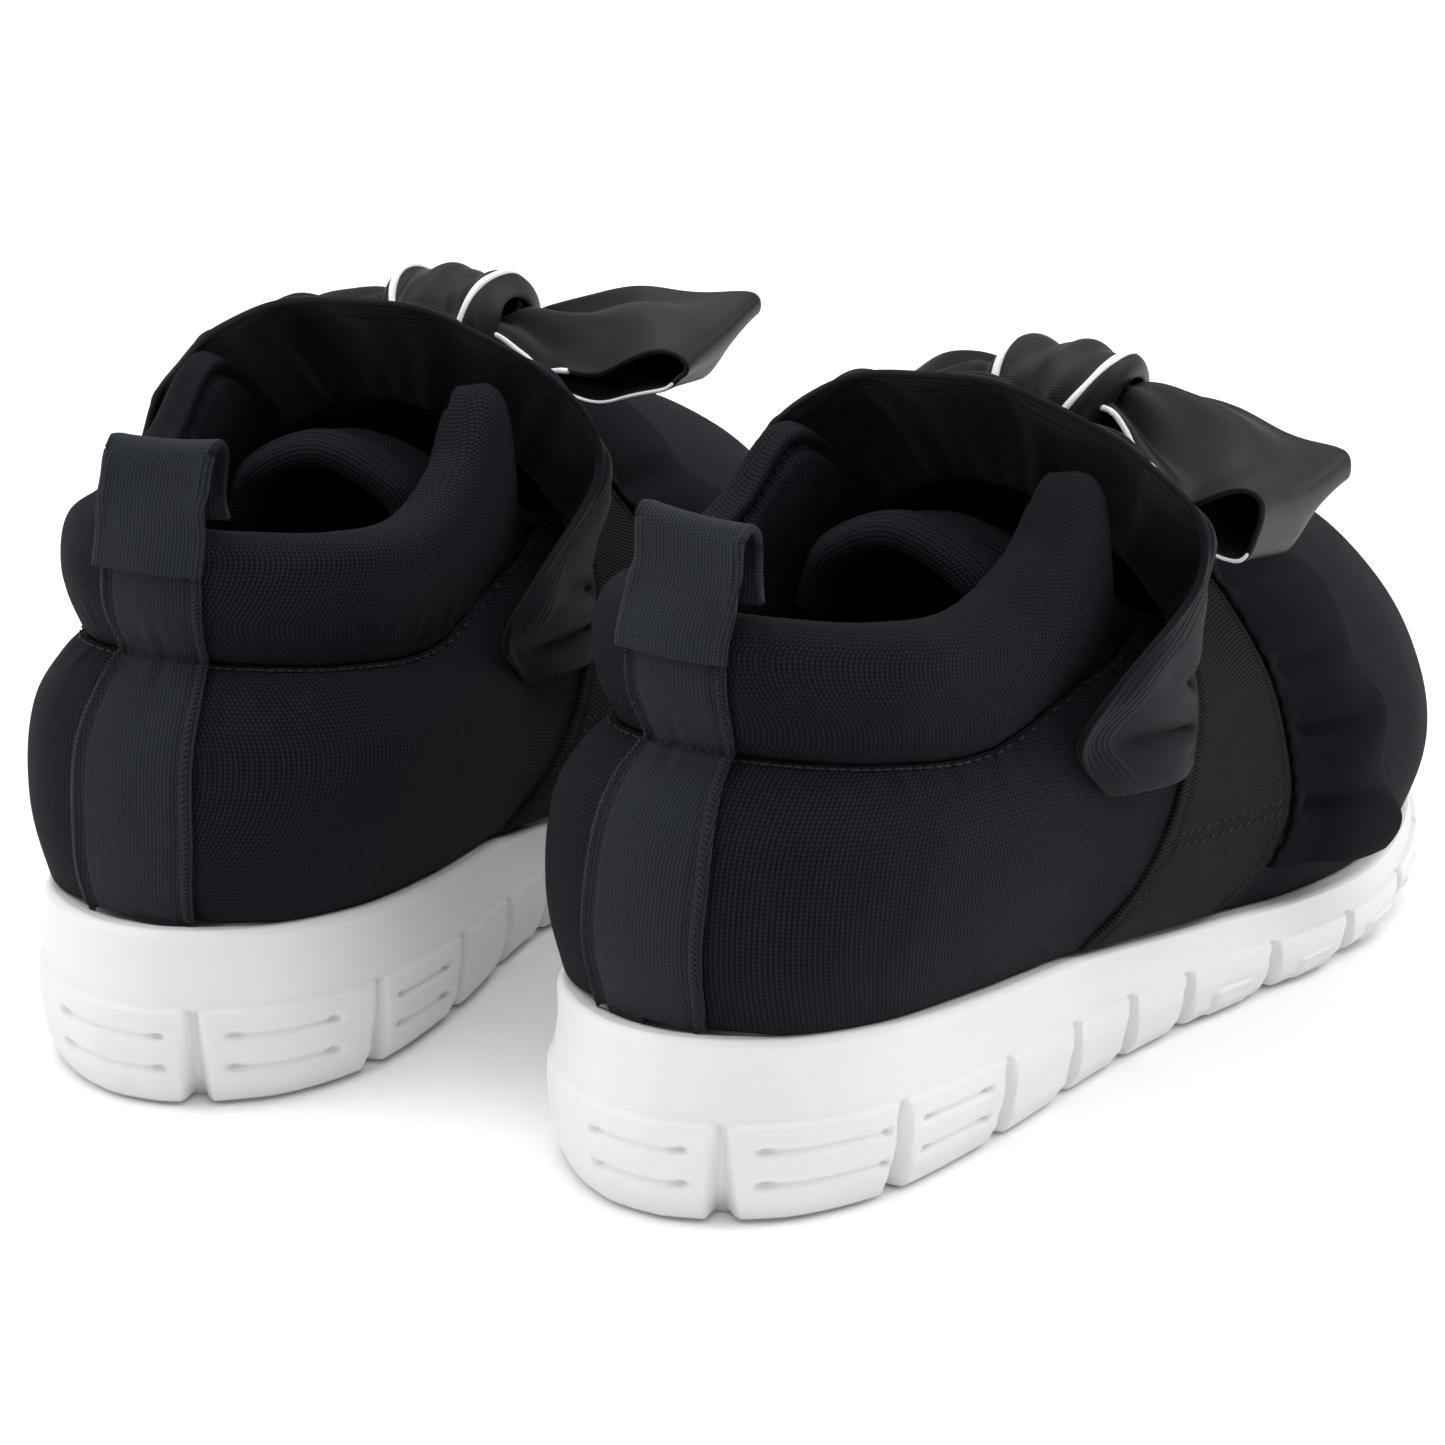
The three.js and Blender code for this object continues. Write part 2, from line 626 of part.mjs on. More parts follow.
function heelGroove(x) {
  const geometry = groove(0, -FAR, 0, grooveRoof(0));
  geometry.rotateZ(Math.PI / 2);
  geometry.translate(x, SIDE_GROOVE_DEPTH, 0);
  return geometry;
}

const crossGrooves = (from, to) => CROSS_GROOVES.filter((y) => y > from && y < to)
  .map((y) => groove(y, -FAR, FAR, grooveRoof(y)));

function rearMidsole(heelGrooveX) {
  const body = slab(0, FLEX_LINE - CLEARANCE / 2, 0, midsoleLow, soleTop, 1.6, 22);
  return cutAway(body, [...sideGrooves(), heelGroove(heelGrooveX), ...crossGrooves(0, FLEX_LINE)]);
}

function toeMidsole() {
  const body = slab(FLEX_LINE + CLEARANCE / 2, SOLE_LENGTH, 0, midsoleLow, soleTop, 1.6, 12);
  return cutAway(body, crossGrooves(FLEX_LINE, SOLE_LENGTH));
}

function outsolePad(from, to, count) {
  return slab(from, to, PAD_INSET, groundLine, (y) => groundLine(y) + PAD_THICKNESS, 0.5, count);
}

const footbedLow = (y) => soleTop(y) + CLEARANCE;
const boardTop = (y) => footbedLow(y) + BOARD_THICKNESS;
const insoleLow = (y) => boardTop(y) + CLEARANCE;
const insoleTop = (y) => insoleLow(y) + INSOLE_THICKNESS;

// ---- one shoe ----
function shoe(side) {
  const group = new THREE.Group();
  const add = (name, geometry, finish) => {
    const mesh = new THREE.Mesh(geometry, new THREE.MeshStandardMaterial(finish));
    mesh.name = `${side}_${name}`;
    group.add(mesh);
  };
  add('midsole_rear', rearMidsole(HEEL_GROOVE_X[side]), EVA);
  add('midsole_toe', toeMidsole(), EVA);
  add('heel_outsole_pad', outsolePad(PAD_INSET + 0.5, 92, 10), RUBBER);
  add('forefoot_outsole_pad', outsolePad(100, SPRING_START + 3, 5), RUBBER);
  add('toe_outsole_pad', outsolePad(FLEX_LINE + 4, SOLE_LENGTH - PAD_INSET - 4, 7), RUBBER);
  add('strobel_board', slab(FOOTBED_BACK, SOLE_LENGTH - FOOTBED_INSET - 1, FOOTBED_INSET,
    footbedLow, boardTop, 0.4, 14), BOARD);
  add('insole', slab(FOOTBED_BACK, SOLE_LENGTH - FOOTBED_INSET - 1, FOOTBED_INSET,
    insoleLow, insoleTop, 1.2, 14), LINING);
  add('quarter_lateral', quarter(1), KNIT);
  add('quarter_medial', quarter(-1), KNIT);
  add('side_gore_lateral', gore(1), RIBBED);
  add('side_gore_medial', gore(-1), RIBBED);
  add('vamp', vamp(), KNIT);
  add('toe_puff', toePuff(), STIFFENER);
  add('heel_counter', heelCounter(), STIFFENER);
  add('quarter_lining', quarterLining(), LINING);
  add('vamp_lining', vampLining(), LINING);
  add('collar_cover', collarCover(), KNIT);
  add('collar_foam', collarFoam(), FOAM);
  add('heel_tape', heelTape(), KNIT);
  add('pull_loop', pullLoop(), KNIT);
  add('tongue', tongue(), KNIT);
  add('instep_strap', strap(), RIBBED);
  add('rear_ruffle', rearRuffle(), KNIT);
  add('front_ruffle', frontRuffle(), KNIT);
  add('bow_wing_lateral', bowWing(1, WING_DROOP[side].lateral, WING_SHARE.lateral), SATIN);
  add('bow_wing_medial', bowWing(-1, WING_DROOP[side].medial, WING_SHARE.medial), SATIN);
  add('bow_knot', bowKnot(), SATIN);
  return group;
}

// ---- the pair ----
const group = new THREE.Group();

const rightShoe = shoe('right');
rightShoe.position.x = HEEL_SPACING / 2;
rightShoe.rotation.z = -TOE_OUT;
group.add(rightShoe);

const leftShoe = shoe('left');
leftShoe.scale.x = -1;
leftShoe.position.set(-HEEL_SPACING / 2, -LEFT_SETBACK, 0);
leftShoe.rotation.z = TOE_OUT;
group.add(leftShoe);

const box = new THREE.Box3().setFromObject(group, true);
group.position.y = -(box.min.y + box.max.y) / 2;

export default group;
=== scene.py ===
"""A pair of slip-on sneakers with a padded collar, a ribbed strap, ruffles and a bow.

Lengths in the shoe's own frame are millimetres: x to the outer side, y from heel to toe, z up
from the ground. A piece is shaped for the right shoe and mirrored for the left one. Soles, rear
ruffles and bow wings are shaped for each shoe, because there the two shoes differ a little.
"""

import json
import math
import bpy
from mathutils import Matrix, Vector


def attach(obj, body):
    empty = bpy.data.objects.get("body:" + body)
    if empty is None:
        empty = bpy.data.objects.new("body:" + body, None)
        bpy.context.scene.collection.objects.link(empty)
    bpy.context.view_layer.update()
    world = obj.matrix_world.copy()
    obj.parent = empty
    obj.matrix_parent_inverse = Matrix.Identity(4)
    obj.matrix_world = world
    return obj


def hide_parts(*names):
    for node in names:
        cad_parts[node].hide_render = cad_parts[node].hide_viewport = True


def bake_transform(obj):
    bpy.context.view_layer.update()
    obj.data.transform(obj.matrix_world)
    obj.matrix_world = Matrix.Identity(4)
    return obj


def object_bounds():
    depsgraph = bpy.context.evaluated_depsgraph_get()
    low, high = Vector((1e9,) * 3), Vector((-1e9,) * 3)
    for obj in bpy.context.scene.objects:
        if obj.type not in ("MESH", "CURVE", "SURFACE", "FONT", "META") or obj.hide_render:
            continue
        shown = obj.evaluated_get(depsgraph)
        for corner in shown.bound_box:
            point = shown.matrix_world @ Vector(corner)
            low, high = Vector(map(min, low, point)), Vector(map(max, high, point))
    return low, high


bl_info = {
    "name": "Ruffle Sneaker Pair",
    "version": (1, 0, 0),
    "blender": (4, 5, 0),
    "location": "3D View > Sidebar > Sneakers",
    "description": "Builds the visible pieces of a pair of slip-on ruffle sneakers",
    "category": "Object",
}

from functools import partial

import bmesh
import bpy
import numpy as np
from mathutils import Matrix, Vector

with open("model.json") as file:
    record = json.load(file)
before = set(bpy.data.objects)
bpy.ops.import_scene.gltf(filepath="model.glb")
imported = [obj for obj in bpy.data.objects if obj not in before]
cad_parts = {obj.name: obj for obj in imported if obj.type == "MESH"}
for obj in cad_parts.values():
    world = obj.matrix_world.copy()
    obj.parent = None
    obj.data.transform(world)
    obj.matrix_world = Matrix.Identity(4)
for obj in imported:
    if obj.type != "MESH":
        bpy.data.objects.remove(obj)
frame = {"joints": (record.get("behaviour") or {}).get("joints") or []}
CAD_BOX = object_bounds()

MM = 0.001
SIDES = ("right", "left")
JOINTS = {joint["name"]: joint for joint in frame["joints"]}

# ---- the shoe's driving sizes, in millimetres ----
SOLE_LENGTH = 225.0
FLEX_LINE = 157.0
OUTSOLE_PAD = 2.2
UNDERSIDE = 0.7  # from the ground line up to the foam
TOE_SPRING = 15.0
SPRING_START = 149.0
BENDS = {  # what carries the far end of a piece that bends, and where its bend starts and ends
    "bend": ("toe", (0, 113, 0), (0, 199, 0)),
    "loop_bend": ("pull_loop", (0, 19.5, 93), (0, 19.5, 98)),
}

TIP = 12
STRAP_REAR, STRAP_FRONT = 5, 6
SEAM_UP = 0.6

# Half lines round the upper, from the back of the heel (station 0) to the toe tip (station 12).
RIM = [
    (0, 5.5, 31.5), (19, 10.5, 31), (28, 27, 29.5), (30, 50, 27.3), (29.6, 68, 25.4),
    (29.5, 80, 24.2), (32.5, 123, 18), (37.5, 146, 15.6), (40.5, 168, 15.4), (39, 187, 16.6),
    (30.5, 205, 18.6), (17, 216.5, 20.4), (0, 220.5, 21),
]
LOW = [
    (0, 4.4, 43), (20.5, 10, 44), (31.5, 27, 45), (34.5, 50.5, 43), (34.5, 75, 41), (35, 91, 37),
    (37.5, 137, 31), (42, 153, 30), (44.5, 172, 30), (42.5, 190, 30.5), (33.5, 208, 31.5),
    (19, 219, 32.5), (0, 223, 33),
]
MIDDLE = [
    (0, 7, 60), (20, 12.5, 60), (31.5, 29, 59), (35, 51.5, 57), (35.5, 80, 56), (35.5, 101, 53),
    (37, 136, 48), (41.5, 153, 46), (42.5, 171, 46), (40, 189, 45.5), (31.5, 206, 45),
    (18, 217, 45), (0, 221, 45),
]
SEAM = [
    (0, 14.4, 73), (16.5, 19, 72.5), (27, 33, 70), (31.5, 53, 67.5), (32.5, 82, 70), (33, 104, 69),
    (33.5, 130, 64), (35, 148, 62.5), (35, 167, 61), (33, 185, 59.5), (26, 202, 57.5),
    (15, 212.5, 56), (0, 216.5, 55),
]
ROLL = [
    (0, 15, 84), (16.5, 19.5, 84), (27.5, 33, 82), (31, 55, 81), (26, 86, 84), (21.5, 101, 86),
    (21.5, 124, 81), (21, 142, 78.5), (21, 161, 76), (19.5, 179, 73), (15.5, 196, 69.5),
    (9, 206, 66), (0, 210.5, 63.5),
]
CREST = [
    (0, 19, 92.5), (13, 23.5, 92), (22.5, 34, 90.5), (26, 55, 90), (10, 86, 97), (0, 97, 95),
    (0, 120, 91), (0, 138, 88), (0, 156, 86), (0, 174, 82.5), (0, 190, 77), (0, 198, 72.5),
    (0, 203, 69.5),
]

# Half lines round the collar, from the back of the heel (station 0) to its end under the strap (6).
COLLAR_END = 6
COLLAR_OUTER = [
    (0, 14.4, 73.5), (16.5, 19, 73), (27, 33, 70.5), (31.5, 53, 68.3), (32.3, 70, 69.5),
    (31.5, 85, 73), (28.5, 100, 77.5),
]
COLLAR_OUTER_MID = [
    (0, 13.6, 84), (17.2, 18.3, 83.5), (28.5, 33, 81), (32.5, 52, 79), (32.8, 69, 83),
    (31.5, 83, 90), (25, 97, 84),
]
COLLAR_TOP = [
    (0, 19, 93.5), (13.5, 23.5, 93), (23, 34, 91.5), (27.2, 50, 90.5), (27.5, 66, 96),
    (26, 80, 105.6), (20, 94, 93),
]
COLLAR_INNER_MID = [
    (0, 24.5, 84), (11, 28.5, 84), (17.5, 37, 81), (22, 51, 79), (22.5, 66, 84), (20.5, 78, 92),
    (20.5, 95, 83),
]
COLLAR_INNER = [
    (0, 24, 70), (11.5, 27.5, 70), (18.5, 36, 68), (23.5, 51, 66.5), (25, 69, 68), (25, 82, 72),
    (26, 97, 75),
]

TONGUE_ARCHES = [
    [(20.5, 74, 78), (15, 73, 89), (0, 72, 95.5)],
    [(20.5, 88, 76), (15, 88, 87), (0, 88, 92)],
    [(19, 102, 70), (14, 103, 81), (0, 104, 86)],
    [(18, 116, 64), (13, 117, 75), (0, 118, 80)],
]

# Free edge of the rear ruffle, half of it, from the low corner up to the centre.
REAR_RUFFLE_EDGE = [
    (38.5, 80, 56), (39, 71, 66), (42, 75, 76), (45, 88, 88), (43, 91, 98), (36, 88, 106),
    (27, 84, 112.5), (14, 81, 117.6), (0, 79, 118.8),
]

BOW_Y, BOW_Z = 124.0, 103.5
KNOT_HALF_WIDTH = 11.0
WING_UPPER = [(9, 3), (18, 6), (30, 8.5), (42, 9.2), (50, 8.2), (53, 5.5)]
WING_LOWER = [(52.2, -1), (49, -8.2), (40, -9), (30, -8), (18, -6), (9, -3.5)]
WINGS = {  # height of the tip against the knot, share of the full reach, fullness of the loop
    "right": {"lateral": (-11.0, 0.86, 0.8), "medial": (-14.0, 1.0, 0.75)},
    "left": {"lateral": (-11.0, 0.86, 0.75), "medial": (3.0, 1.0, 0.62)},
}
RUFFLE_SLUMP = {"right": 0.68, "left": 0.32}  # where the rear ruffle has sunk a little
HEEL_GROOVE_X = {"right": 14.0, "left": -11.0}

LOOP_PIVOT = (19.5, 95.2)
LOOP_WIDTH = 20.0

SOLE_TOP = [
    (0, 31), (20, 30), (50, 27), (80, 23.8), (120, 17.8), (160, 14.8), (190, 16.2), (225, 21),
]
SOLE_HALF_WIDTH = [
    (0, 2), (1, 6.8), (5.4, 15.3), (14.4, 24.3), (31.5, 30.8), (58.5, 32.2), (90, 30.6),
    (117, 33.3), (144, 39.6), (166.5, 42.8), (184.5, 41), (200, 35.6), (213, 26.1), (221, 14),
    (224, 6.8), (225, 2),
]
GROOVES = (29, 56, 77, 95, 112, 136, 158, 179, 198)
FLEX_GROOVES = GROOVES[4:]  # these run on across the underside


# ---- curves ----

def weights(t):
    """Catmull-Rom weights of four neighbouring points."""
    return 0.5 * np.stack([-t + 2 * t**2 - t**3, 2 - 5 * t**2 + 3 * t**3,
                           t + 4 * t**2 - 3 * t**3, -t**2 + t**3], -1)


def spline(points, t, closed=False):
    """Points on a smooth curve through points. t counts points, so 1.5 is halfway from 1 to 2."""
    points = np.asarray(points, float)
    count = len(points)
    t = np.asarray(t, float)
    if closed:
        start = np.floor(t).astype(int)
        near = (start[..., None] + np.arange(-1, 3)) % count
        return np.einsum("...k,...kd->...d", weights(t - start), points[near])
    start = np.clip(np.floor(t).astype(int), 0, count - 2)
    padded = np.vstack([2 * points[0] - points[1], points, 2 * points[-1] - points[-2]])
    near = start[..., None] + np.arange(4)
    return np.einsum("...k,...kd->...d", weights(t - start), padded[near])


def smooth(t):
    t = np.clip(t, 0, 1)
    return t * t * (3 - 2 * t)


def ramp(t, low, high):
    return smooth((np.asarray(t, float) - low) / (high - low))


def bump(t, middle, width):
    return np.exp(-((np.asarray(t, float) - middle) / width) ** 2)


def swing(y):
    """Sideways bend of the last: outwards at the waist, back at the toe."""
    return 3 * bump(y, 100, 42) - 1.3 * bump(y, 200, 28)


def swung(points):
    points = np.array(points, float)
    points[..., 0] += swing(points[..., 1])
    return points


def mirror(points):
    return [(-x, y, z) for x, y, z in points]


# ---- the upper's surface ----
GUIDES = [half + mirror(half[1:-1][::-1]) for half in (RIM, LOW, MIDDLE, SEAM, ROLL, CREST)]


def collar_shoulder(aside):
    """The line beside the collar's top that keeps it round: aside is outwards if positive."""
    line = []
    for top, outer, inner in zip(COLLAR_TOP, COLLAR_OUTER_MID, COLLAR_INNER_MID):
        reach = Vector(outer) - Vector(inner)
        reach.z = 0
        reach = reach.normalized() * aside
        line.append((top[0] + reach.x, top[1] + reach.y, top[2] - 0.62 * abs(aside)))
    return line


COLLAR_GUIDES = [mirror(half[1:][::-1]) + half
                 for half in (COLLAR_OUTER, COLLAR_OUTER_MID, collar_shoulder(4.3), COLLAR_TOP,
                              collar_shoulder(-4.3), COLLAR_INNER_MID, COLLAR_INNER)]


def across_points(sections, t):
    """Evaluates each row of sections, an (n, k, 3) array, at its own t from 0 to 1."""
    count = sections.shape[1]
    t = np.clip(np.asarray(t, float), 0, 1) * (count - 1)
    start = np.clip(np.floor(t).astype(int), 0, count - 2)
    first = 2 * sections[:, :1] - sections[:, 1:2]
    last = 2 * sections[:, -1:] - sections[:, -2:-1]
    padded = np.concatenate([first, sections, last], 1)
    near = start[:, None] + np.arange(4)
    picked = np.take_along_axis(padded, near[..., None], 1)
    return np.einsum("nk,nkd->nd", weights(t - start), picked)


def over_shoe(station, across):
    """A point over the shoe: across is 0 at the lateral rim, 0.5 on the crest and 1 at the medial
    rim."""
    station, across = np.broadcast_arrays(np.asarray(station, float), np.asarray(across, float))
    station = np.clip(station, 0, TIP)
    lateral = np.stack([spline(guide, station, closed=True) for guide in GUIDES], 1)
    medial = lateral[:, -2::-1] * np.array([-1, 1, 1])
    return swung(across_points(np.concatenate([lateral, medial], 1), across))


def round_shoe(station, up):
    """Station runs from -12 through 0 at the heel to 12 at the toe; up is 1 on the crest."""
    station, up = np.asarray(station, float), np.asarray(up, float)
    return over_shoe(np.abs(station), np.where(station < 0, 1 - up / 2, up / 2))


def collar_point(station, around):
    """Around is 0 at the outer seam, 0.5 on top and 1 at the inner edge."""
    station, around = np.broadcast_arrays(np.asarray(station, float), np.asarray(around, float))
    sections = np.stack([spline(guide, station + COLLAR_END) for guide in COLLAR_GUIDES], 1)
    return swung(across_points(sections, around))


def normals(surface, a, b, step=0.004):
    """Unit normals of surface(a, b), by small differences."""
    along = surface(a + step, b) - surface(a - step, b)
    over = surface(a, np.minimum(b + step, 1)) - surface(a, np.maximum(b - step, 0))
    facing = np.cross(along, over)
    return facing / np.maximum(np.linalg.norm(facing, axis=-1, keepdims=True), 1e-9)


def raised(surface, a, b, height):
    return surface(a, b) + normals(surface, a, b) * np.asarray(height, float)[..., None]


# ---- the sole's lines ----

def sole_top(y):
    places, heights = np.array(SOLE_TOP, float).T
    fine = spline(np.array(SOLE_TOP, float), np.linspace(0, len(places) - 1, 200))
    return np.interp(y, fine[:, 0], fine[:, 1])


def ground_line(y):
    t = np.maximum(0, (np.asarray(y, float) - SPRING_START) / (SOLE_LENGTH - SPRING_START))
    return TOE_SPRING * t * t


# ---- meshes ----

def carried_grid(columns, rows, place, merge=0.0):
    """A grid carried onto a surface: place takes arrays a, b from 0 to 1 and gives millimetres.
    Its UV map 'cloth' is the piece laid flat, in metres."""
    bm = bmesh.new()
    bmesh.ops.create_grid(bm, x_segments=columns, y_segments=rows, size=0.5)
    flat = np.array([v.co[:2] for v in bm.verts]) + 0.5
    points = place(flat[:, 0], flat[:, 1]) * MM
    at = (np.rint(flat[:, 0] * columns).astype(int), np.rint(flat[:, 1] * rows).astype(int))
    table = np.zeros((columns + 1, rows + 1, 3))
    table[at] = points
    along, over = np.zeros((2, columns + 1, rows + 1))
    along[1:] = np.cumsum(np.linalg.norm(np.diff(table, axis=0), axis=2), 0)
    over[:, 1:] = np.cumsum(np.linalg.norm(np.diff(table, axis=1), axis=2), 1)
    along, over = along[at], over[at]
    for vertex, point in zip(bm.verts, points):
        vertex.co = point
    layer = bm.loops.layers.uv.new("cloth")
    for face in bm.faces:
        for loop in face.loops:
            loop[layer].uv = (along[loop.vert.index], over[loop.vert.index])
    if merge:
        bmesh.ops.remove_doubles(bm, verts=bm.verts, dist=merge * MM)
    return bm


def edge_fall(t, reach, drop):
    """How far a padded panel falls away near its sewn edge at t = 0."""
    inside = 1 - np.clip(np.asarray(t, float) / reach, 0, 1)
    return -drop * (0.75 * inside**2 + 0.25 * inside**8)


def tube(line, radius, columns, sides=10, across=(0, 0, 1)):
    """A cord along line(a), in millimetres, with rounded ends."""
    across = np.array(across, float)

    def place(a, b):
        step = line(np.clip(a + 0.004, 0, 1)) - line(np.clip(a - 0.004, 0, 1))
        step /= np.linalg.norm(step, axis=1, keepdims=True)
        one = np.cross(step, across)
        one /= np.linalg.norm(one, axis=1, keepdims=True)
        two = np.cross(one, step)
        angle = 2 * math.pi * b
        inside = np.clip(np.minimum(a, 1 - a) * columns / 2, 0, 1)
        ends = np.sqrt(np.clip(1 - (1 - inside) ** 2, 0, 1))
        around = one * np.cos(angle)[:, None] + two * np.sin(angle)[:, None]
        return line(a) + around * (radius * ends)[:, None]

    return carried_grid(columns, sides, place, merge=0.01)


def stitch_row(bm, line, facing, count, length=1.9, width=0.55, height=0.35, lean=0.0):
    """Sewn stitches along line(a), lying on the cloth that faces facing(a)."""
    places = (np.arange(count) + 0.5) / count
    here, ahead, up = line(places), line(np.clip(places + 0.002, 0, 1)), facing(places)
    behind = line(np.clip(places - 0.002, 0, 1))
    for centre, step, normal in zip(here, ahead - behind, up):
        forward = Vector(step).normalized()
        out = Vector(normal).normalized()
        side = out.cross(forward).normalized()
        forward = (forward + side * lean).normalized()
        side = out.cross(forward).normalized()
        half = (length / 2 * MM, width / 2 * MM, height / 2 * MM, MM)
        rows = [[vector[k] * size for vector, size in zip((forward, side, out, centre), half)]
                for k in range(3)]
        matrix = Matrix((*rows, (0, 0, 0, 1)))
        bmesh.ops.create_icosphere(bm, subdivisions=1, radius=1, matrix=matrix)


def shoe_matrix(side):
    """The shoe's own frame in the row's frame; the left shoe's mirrors it."""
    joint = JOINTS[f"{side}_toe_flex"]
    across = Vector(joint["axis"])
    forward = Vector((-across.y, across.x, 0))
    heel = Vector(joint["pos_m"]) - forward * FLEX_LINE * MM
    outward = across if side == "right" else -across
    return Matrix((
        (outward.x, forward.x, 0, heel.x),
        (outward.y, forward.y, 0, heel.y),
        (0, 0, 1, 0),
        (0, 0, 0, 1),
    ))


def hand_over(bm, name, look, stands_for=None, wall=0.0, offset=-1.0, body="shoe",
              sides=SIDES):
    """Makes the right and the left piece from one shape and gives them by side. look names the
    finish, stands_for the parts they stand for, which are those of their own name by default,
    wall the thickness in millimetres, and body what carries them; a piece whose body is a bend is
    carried by nothing."""
    made = {}
    for side in sides:
        own = bm.copy()
        bmesh.ops.transform(own, matrix=shoe_matrix(side), verts=own.verts)
        if side == "left":
            bmesh.ops.reverse_faces(own, faces=own.faces)
        mesh = bpy.data.meshes.new(f"{side}_{name}")
        own.to_mesh(mesh)
        own.free()
        mesh.shade_smooth()
        mesh.materials.append(MATERIALS[look])
        obj = bpy.data.objects.new(f"{side}_{name}_piece", mesh)
        bpy.context.scene.collection.objects.link(obj)
        if wall:
            solidify = obj.modifiers.new("Solidify", "SOLIDIFY")
            solidify.thickness, solidify.offset = wall * MM, offset
            solidify.use_even_offset = False
        if body in BENDS:
            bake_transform(obj)
        else:
            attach(obj, f"{side}_{body}")
        nodes = (name,) if stands_for is None else stands_for
        if nodes:
            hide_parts(*[f"{side}_{node}" for node in nodes])
        made[side] = obj
    bm.free()
    return made


# ---- materials ----

def feed(tree, socket, value):
    """Links a socket to another one, or sets it to a number or colour."""
    if isinstance(value, bpy.types.NodeSocket):
        tree.links.new(value, socket)
    else:
        socket.default_value = value


def math_node(tree, operation, *values):
    node = tree.nodes.new("ShaderNodeMath")
    node.operation = operation
    for socket, value in zip(node.inputs, values):
        feed(tree, socket, value)
    return node.outputs[0]


def wave(tree, along, pitch):
    """Up to 1 and back to 0 over each pitch."""
    turns = math_node(tree, "MULTIPLY", math_node(tree, "DIVIDE", along, pitch), math.pi)
    return math_node(tree, "ABSOLUTE", math_node(tree, "SINE", turns))


def noise(tree, scale, detail=2.0):
    """Noise on Object coordinates."""
    coords = tree.nodes.new("ShaderNodeTexCoord")
    node = tree.nodes.new("ShaderNodeTexNoise")
    tree.links.new(coords.outputs["Object"], node.inputs["Vector"])
    feed(tree, node.inputs["Scale"], scale)
    node.inputs["Detail"].default_value = detail
    return node.outputs["Fac"]


def relief(tree, height, distance_mm, under=None):
    """The normal of a Bump node, on top of the normal under it."""
    node = tree.nodes.new("ShaderNodeBump")
    node.inputs["Distance"].default_value = distance_mm * MM
    tree.links.new(height, node.inputs["Height"])
    if under:
        tree.links.new(under, node.inputs["Normal"])
    return node.outputs["Normal"]


def cloth_uv(tree):
    """The u and v of the piece laid flat, in millimetres."""
    uv = tree.nodes.new("ShaderNodeUVMap")
    uv.uv_map = "cloth"
    split = tree.nodes.new("ShaderNodeSeparateXYZ")
    tree.links.new(uv.outputs["UV"], split.inputs[0])
    return [math_node(tree, "MULTIPLY", split.outputs[axis], 1000.0) for axis in "XY"]


def new_group(name, inputs, outputs):
    """A shader node group of named numbers, with its maths, its inputs and its outputs."""
    group = bpy.data.node_groups.new(name, "ShaderNodeTree")
    for label, default in inputs.items():
        socket = group.interface.new_socket(label, in_out="INPUT", socket_type="NodeSocketFloat")
        socket.default_value = default
    for label in outputs:
        group.interface.new_socket(label, in_out="OUTPUT", socket_type="NodeSocketFloat")
    entry = group.nodes.new("NodeGroupInput").outputs
    leave = group.nodes.new("NodeGroupOutput").inputs
    return group, partial(math_node, group), entry, leave


def knit_group():
    """Columns of V-shaped knit stitches: a height, and a painted shade that is dark in the hollows
    between stitches and light on their crowns, from the cloth's own UV.
    """
    group, maths, entry, leave = new_group(
        "knit stitches", {"Wale": 0.8, "Course": 0.6, "Turn": 0.0}, ("Height", "Shade"))
    u, v = cloth_uv(group)
    across = maths("DIVIDE", u, entry["Wale"])
    cell = maths("FRACT", across)
    lean = maths("ABSOLUTE", maths("SUBTRACT", cell, 0.5))
    rise = maths("ADD", maths("DIVIDE", v, entry["Course"]), maths("MULTIPLY", lean, 1.3))
    rise = maths("ADD", rise, maths("MULTIPLY", across, entry["Turn"]))
    stitch = maths("ABSOLUTE", maths("SINE", maths("MULTIPLY", rise, math.pi)))
    rib = maths("SINE", maths("MULTIPLY", cell, math.pi))
    height = maths("ADD", maths("MULTIPLY", stitch, 0.5), maths("MULTIPLY", rib, 0.5))
    group.links.new(height, leave["Height"])
    group.links.new(maths("MULTIPLY", stitch, rib), leave["Shade"])
    return group


def rib_group():
    """Ribs across a woven elastic, crossed by fine threads; the Shade output is painted shade, dark
    between the ribs and light on them.
    """
    group, maths, entry, leave = new_group(
        "elastic ribs", {"Rib": 1.1, "Thread": 0.5, "Slope": 0.0}, ("Height", "Shade"))
    u, v = cloth_uv(group)
    v = maths("ADD", v, maths("MULTIPLY", u, entry["Slope"]))
    rib = wave(group, v, entry["Rib"])
    thread = wave(group, u, entry["Thread"])
    height = maths("ADD", maths("MULTIPLY", rib, 0.75), maths("MULTIPLY", thread, 0.25))
    group.links.new(height, leave["Height"])
    group.links.new(rib, leave["Shade"])
    return group


def twill_group():
    """Fine diagonal lines of a twill or satin ribbon; the same lines give the painted shade, dark
    in their grooves and light on their crowns.
    """
    group, maths, entry, leave = new_group(
        "twill lines", {"Pitch": 0.6, "Slope": 1.0}, ("Height", "Shade"))
    u, v = cloth_uv(group)
    line = wave(group, maths("ADD", u, maths("MULTIPLY", v, entry["Slope"])), entry["Pitch"])
    group.links.new(line, leave["Height"])
    group.links.new(line, leave["Shade"])
    return group


def mottle_group():
    """Slow and fine unevenness of tone over a surface, about 1."""
    group, maths, entry, leave = new_group("mottle", {"Strength": 0.2, "Scale": 60.0}, ("Tone",))
    uneven = maths("SUBTRACT", noise(group, entry["Scale"], 4), 0.5)
    tone = maths("ADD", maths("MULTIPLY", uneven, entry["Strength"]), 1.0)
    group.links.new(tone, leave["Tone"])
    return group


